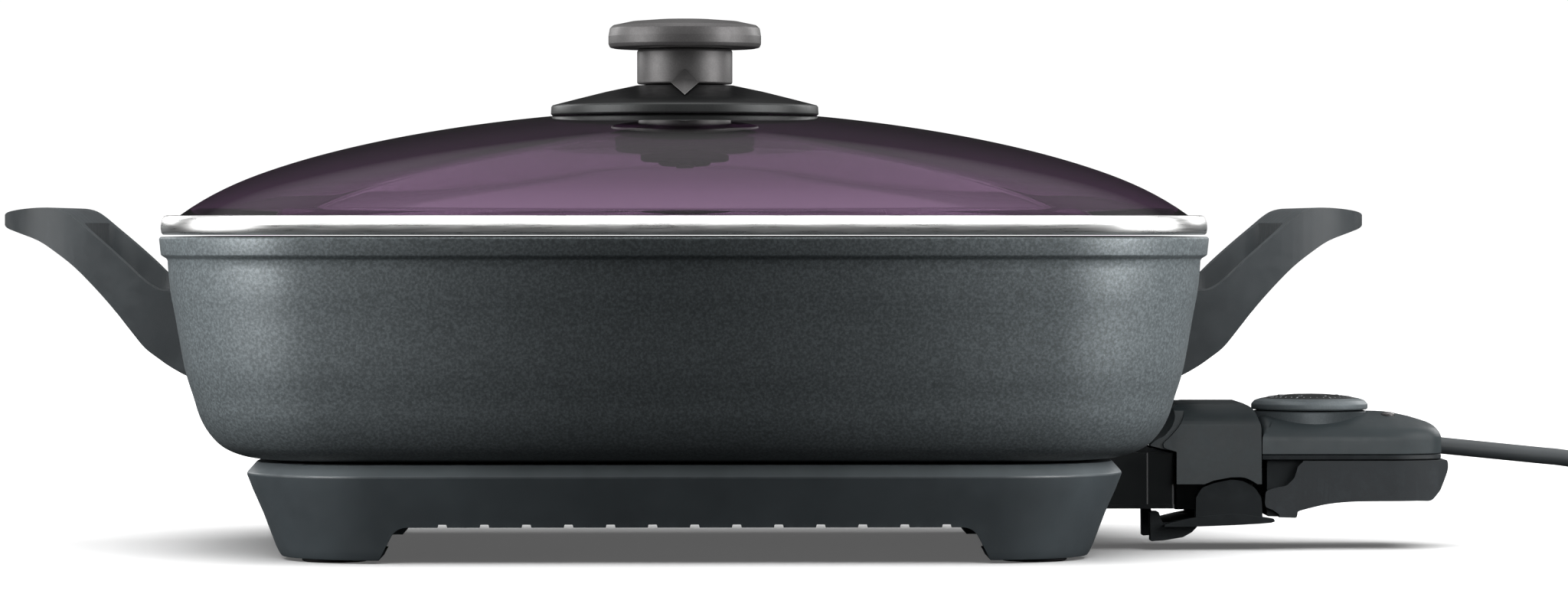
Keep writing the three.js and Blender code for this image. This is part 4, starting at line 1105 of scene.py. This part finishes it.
# lower housing: flange strip under the seam, then the tray that holds the works
pl1 = outline_dense(ctl_plan(-0.15))
strip = [[(x, y, 34.0) for x, y in inset(pl1, 0.9)], [(x, y, 34.1) for x, y in inset(pl1, 0.3)], [(x, y, 34.4) for x, y in pl1], [(x, y, 35.7) for x, y in pl1], [(x, y, 35.95) for x, y in inset(pl1, 0.3)]]
tray_pl = inset(pl1, 1.9)
low = loft("housing_lower", [[(x, y, 19.6) for x, y in inset(tray_pl, 0.8)], [(x, y, 20.4) for x, y in tray_pl], [(x, y, 33.2) for x, y in tray_pl], [(x, y, 33.95) for x, y in inset(pl1, 2.2)]] + strip)
boolean(low, prism("c", fil([(221, -22.6), (268.6, -22.6, 22), (282.6, -16.0, 12), (282.6, 16.0, 12), (268.6, 22.6, 22), (221, 22.6)], True, 8), "z", 21.6, 40))
boolean(low, turn(lathe("c", [(0, 0), (3.9, 0), (3.9, 16), (0, 16)], 36, closed=False), Matrix.Translation((278, 0, 38.6)) @ Matrix.Rotation(PI / 2, 4, "Y")))
boolean(low, prism("c", rrect(4, 18.8, 0.5, 2, 218.5, 0), "z", 21.6, 34))
for y in (-17, 17):
    boolean(low, lathe("c", [(0, 18), (1.7, 18), (1.7, 24), (0, 24)], 16, 262, y, closed=False))
place(low, M_LOWER, "controller", "controller_plastic", "housing_bottom", sharp=35, weighted=True)

# grip: matte boot round the tray
gs = fil([(232.8, 33.75, 0.8), (230.6, 31.6, 2), (229.3, 27.2, 3.5), (226.4, 24.4, 3), (221.4, 23.4, 2), (218.5, 22.4, 1.5), (218.2, 18.0), (219.6, 12.6, 0.8), (230.2, 12.3, 0.8), (230.6, 14.6, 0.6)], False, 4)
gs += smooth_pts([(231.4, 15.0), (236, 16.2), (242, 17.5), (250, 18.3), (258, 18.5), (268, 18.55), (276, 18.6)], 3)
gs += fil([(276, 18.6), (281.6, 18.4, 3.2), (285.2, 22.4, 3), (289.5, 31.4, 1.6), (288.3, 33.75, 1.2), (284, 33.75)], False, 5)[1:]
gp = prism("grip_boot", gs, "y", -27, 27)
boolean(gp, prism("c", outline_dense(fil([(212, -26.95), (272.4, -26.95, 25), (289.3, -19.6, 16), (289.3, 19.6, 16), (272.4, 26.95, 25), (212, 26.95)], True, 16), 1.6), "z", 5, 60), "INTERSECT")
boolean(gp, prism("c", [(x if x > 221 else 205, y) for x, y in inset(pl1, 1.5)], "z", 19.3, 60))
for y in (-17, 17):
    boolean(gp, lathe("c", [(0, 10), (3.3, 10), (3.3, 21), (0, 21)], 28, 262, y, closed=False))
boolean(gp, prism("c", rrect(10, 24, 0.5, 2, 209.6, 0), "z", 5, 21))
for y0, y1 in ((-28, -20.2), (20.2, 28)):
    boolean(gp, prism("c", [(210, 5), (223.9, 5), (223.6, 13.6), (221.4, 15.2), (218.4, 16.4), (210, 16.4)], "y", y0, y1))
bevel(gp, 0.7, 3, 38)
place(gp, M_GRIP, "controller", "grip_rubber", "grip_pad", sharp=34, weighted=True)

# hood: crowned shroud whose front follows the pan's corner, with a lip round it
def hood_section(wy, z0, ztop, rad):
    return fil([(-wy, z0), (wy, z0), (wy, ztop, rad), (0, ztop + 0.25, 60), (-wy, ztop, rad)], True, 10)


hs = fil([(184.9, 25.0), (184.9, 37.2, 0.5), (178.4, 39.2, 1.5), (182.6, 43.0, 6), (185.6, 46.4, 8), (187.6, 50.2, 6), (187.9, 55.55, 3.2), (209.8, 55.7, 4), (214.0, 53.6, 5), (216.8, 47.0, 6), (217.0, 25.0)], True, 6)
hood = prism("hood_shell", hs, "y", -27.5, 27.5)
hc = fil([(183.2, 37.4), (174.9, 39.5, 0.3), (176.8, 41.3, 1), (180.4, 43.0, 6), (183.2, 46.2, 8), (184.6, 50.0, 5), (183.6, 55.35, 3.0), (200, 55.4), (200, 37.4)], True, 6)
core = prism("c2", hc, "y", -24.9, 24.9)
boolean(hood, core, "UNION")
boolean(hood, prism("c", hood_section(27.6, 20, 55.45, 9.5), "x", 170, 220), "INTERSECT")
boolean(hood, prism("c", rrect(15, 24.4, 1, 3, 200, 0), "z", 20, 52.6))
boolean(hood, prism("c", rrect(4, 18.8, 0.5, 3, 216, 0), "z", 21.6, 48))
boolean(hood, prism("c", rrect(1.7, 24.0, 0.4, 2, 184.9, 0), "z", 20, 36.4))
notch = fil([(190.9, 10.0), (191.4, 20.3, 2.4), (193.7, 24.3, 3), (198.8, 26.4, 4.5), (205.2, 27.6, 7), (210.6, 27.7, 7), (215.6, 25.0, 5), (218.4, 20.0, 3), (218.8, 10.0)], True, 6)
boolean(hood, prism("c", notch, "y", -30, 30))
boolean(hood, pan_cutter(0.5))
bevel(hood, 0.6, 3, 36)
place(hood, M_CTRL, "controller", "controller_plastic", "controller_hood", sharp=34, weighted=True)

# lens, screws, rod, contacts
lens = lathe("pilot_lens", fil([(0, 48.6), (2.2, 48.6), (2.5, 49.0), (2.5, 51.0, 0.6), (1.4, 51.6, 0.8), (0, 51.7)], False, 5), 40, 266.5, -10, closed=False)
place(lens, M_LENS, "controller", "lens_red", "indicator_lens", sharp=40)
for i in (1, 2):
    lo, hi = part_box("housing_screw_%d" % i)
    s = cross_screw("housing_fixing_%d" % i, 2.95, 0.9, 1.4, 6.4)
    turn(s, Matrix.Translation((262, (lo.y + hi.y) * 500, 18.5)) @ Matrix.Rotation(PI, 4, "X"))
    place(s, M_SCREW, "controller", "steel_screw", "housing_screw_%d" % i, sharp=38)
rodp = lathe("probe_rod", fil([(0, 0), (1.6, 0, 0.8), (3.0, 1.8, 1.2), (3.0, 98, 0.2), (0, 98)], False, 4), 40, closed=False)
turn(rodp, Matrix.Translation((122, 0, 26)) @ Matrix.Rotation(PI / 2, 4, "Y"))
place(rodp, M_PIN, "controller", "pin_steel", "sensor_rod", sharp=40)
for n, y in (("near", -14), ("far", 14)):
    p_ = lathe("pin_" + n, fil([(0, 0), (1.5, 0, 0.8), (2.4, 1.4, 1.0), (2.4, 40, 0.2), (0, 40)], False, 4), 36, closed=False)
    turn(p_, Matrix.Translation((183.5, y, 26)) @ Matrix.Rotation(-PI / 2, 4, "Y"))
    place(p_, M_PIN, "pan_unit", "pin_steel", "terminal_pin_" + n, sharp=40)
    s_ = lathe("sleeve_" + n, fil([(2.55, 0, 0.3), (4.0, 0, 0.5), (4.0, 60, 0.4), (2.55, 60, 0.1)], True, 3), 40)
    turn(s_, Matrix.Translation((168, y, 26)) @ Matrix.Rotation(PI / 2, 4, "Y"))
    boolean(s_, prism("c", [(166, y - 0.45), (184, y - 0.45), (184, y + 0.45), (166, y + 0.45)], "z", 20, 32))
    place(s_, M_BRASS, "controller", "contact_brass", "contact_sleeve_" + n, sharp=40)

# release lever: half-round cheeks over a thin wing, with two hooks at the front
ck = fil([(192.2, 12.0), (192.3, 20.0, 2), (194.4, 23.6, 2.6), (199.2, 25.5, 4), (205.4, 26.7, 6), (210.0, 26.3, 6), (214.6, 23.6, 5), (216.9, 19.8, 3), (217.4, 12.0)], True, 5)
wg_top = smooth_pts([(180.4, 9.8), (185, 11.0), (193, 12.7), (202.8, 13.6), (209, 13.7), (215, 12.9), (221.6, 11.9)], 4)
wg_bot = [(222.0, 11.0), (220.6, 10.5), (216, 10.1), (206.8, 9.6), (193.5, 9.1), (186.0, 9.0), (180.4, 9.0)]
lever = prism("lever_rocker", ck, "y", -26.7, 26.7)
boolean(lever, prism("c", wg_top + wg_bot, "y", -27.3, 27.3), "UNION")
boolean(lever, prism("c", [(189.8, 11.9), (219, 11.9), (219, 40), (189.8, 40)], "y", -20.8, 20.8))
hk = fil([(175.2, 14.6, 0.5), (178.4, 14.6, 0.8), (179.8, 10.4, 1), (187.0, 10.2), (193.4, 9.3), (191.0, 6.8, 1.5), (187.6, 4.9, 2), (180.4, 3.7, 1), (175.4, 3.4, 0.4)], True, 4)
for y0, y1 in ((-23.8, -15.8), (15.8, 23.8)):
    boolean(lever, prism("c", hk, "y", y0, y1), "UNION")
boolean(lever, turn(lathe("c", [(0, 0), (2.05, 0), (2.05, 48.4), (0, 48.4)], 28, closed=False), Matrix.Translation((205, -24.2, 19.6)) @ Matrix.Rotation(-PI / 2, 4, "X")))
boolean(lever, prism("c", [(217.9, 8), (224, 8), (224, 40), (217.9, 40)], "y", -20.8, 20.8))
lo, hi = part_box("lever_spring")
SX, SY = (lo.x + hi.x) * 500 - CX, (lo.y + hi.y) * 500
boolean(lever, lathe("c", [(0, lo.z * 1000 - 1.3), (3.9, lo.z * 1000 - 1.3), (3.9, 16), (0, 16)], 28, SX, SY, closed=False))
bevel(lever, 0.35, 2, 36)
place(lever, M_LOWER, "release_lever", "controller_plastic", "release_lever", sharp=34, weighted=True)
lp_ = lathe("lever_axle", fil([(0, 0), (1.7, 0, 0.2), (1.98, 0.4, 0.2), (1.98, 46.8, 0.2), (1.7, 47.2, 0.2), (0, 47.2)], False, 3), 32, closed=False)
turn(lp_, Matrix.Translation((205, -23.6, 19.6)) @ Matrix.Rotation(-PI / 2, 4, "X"))
place(lp_, M_PIN, "controller", "pin_steel", "lever_pin", sharp=40)

# socket guard: neck under the pan's right end, with a ledge and a hollow core
gd = prism("guard_neck", rrect(16.7, 25.6, 1.2, 4, 167.6, 0), "z", 16.4, 36.9)
boolean(gd, prism("c", rrect(11.6, 26.6, 1.0, 4, 162.8, 0), "z", 16.0, 36.9), "UNION")
boolean(gd, prism("c", [(154, 30), (184.1, 30), (184.1, 36.4), (177.6, 38.1), (174.2, 38.9), (173.2, 41), (169, 47), (154, 47)], "y", -24.6, 24.6), "UNION")
boolean(gd, prism("c", rrect(16.8, 28.0, 1.2, 4, 167.4, 0), "z", 15.9, 17.5), "UNION")
boolean(gd, prism("c", rrect(16, 23.9, 0.8, 3, 170.2, 0), "z", 18.6, 33.4))
boolean(gd, pan_cutter(0.35))
for y, r in ((0, 5.3), (-14, 2.7), (14, 2.7)):
    boolean(gd, turn(lathe("c", [(0, 0), (r, 0), (r, 10), (0, 10)], 28, closed=False), Matrix.Translation((147, y, 26)) @ Matrix.Rotation(PI / 2, 4, "Y")))
bevel(gd, 0.22, 2, 40)
place(gd, M_BLACK, "pan_unit", "black_plastic", "socket_guard", sharp=34, weighted=True)

# ------------------------------------------------------------------ carried-over frame parts
dress("heating_element", M_HEATER)
dress("sensor_pocket", M_HEATER)
cc = prism("contact_core", rrect(14.9, 20.3, 0.8, 3, 199.8, 0), "z", 15.2, 31.2)
boolean(cc, prism("c", rrect(3.6, 18.4, 0.5, 2, 216.8, 0), "z", 21.9, 31.0), "UNION")
for y, r in ((0, 3.35), (-14, 4.25), (14, 4.25)):
    boolean(cc, turn(lathe("c", [(0, 0), (r, 0), (r, 60), (0, 60)], 32, closed=False), Matrix.Translation((170, y, 26)) @ Matrix.Rotation(PI / 2, 4, "Y")))
boolean(cc, turn(lathe("c", [(0, 0), (2.1, 0), (2.1, 60), (0, 60)], 28, closed=False), Matrix.Translation((205, -30, 19.6)) @ Matrix.Rotation(-PI / 2, 4, "X")))
boolean(cc, lathe("c", [(0, 10), (3.0, 10), (3.0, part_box("lever_spring")[1].z * 1000 + 0.15), (0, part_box("lever_spring")[1].z * 1000 + 0.15)], 28, SX, SY, closed=False))
bevel(cc, 0.3, 2, 40)
place(cc, M_BLACK, "controller", "black_plastic", "contact_carrier", sharp=34)
dress("thermostat_block", M_CERAMIC)
dress("terminal_block", M_CERAMIC)
dress("indicator_lamp", M_LAMP)
dress("strain_relief", M_CORD)
dress("lever_spring", M_SCREW)

for l_ in (pan_l, pan_r):
    reach(l_, [pan, base])
    l_.visible_camera = False
reach(rim_l, [rim, hr, hl])
reach(ctl_l, [hood, hull, gp, seat, ring_o] + [o for o in bpy.data.objects if o.name.startswith("cord")])
reach(top_l, [glass, floor, hood, hull, cap, collar, seat], keep=False)
for l_ in (back_l, back_r):
    reach(l_, [glass, floor], keep=False)
for l_ in (side_l, side_r, top_l, rim_l, ctl_l, back_l, back_r):
    l_.visible_camera = False
for l_ in (side_l, side_r):
    reach(l_, [pan, floor, hood, seat] + ([hull] if l_ is side_l else []), keep=False)
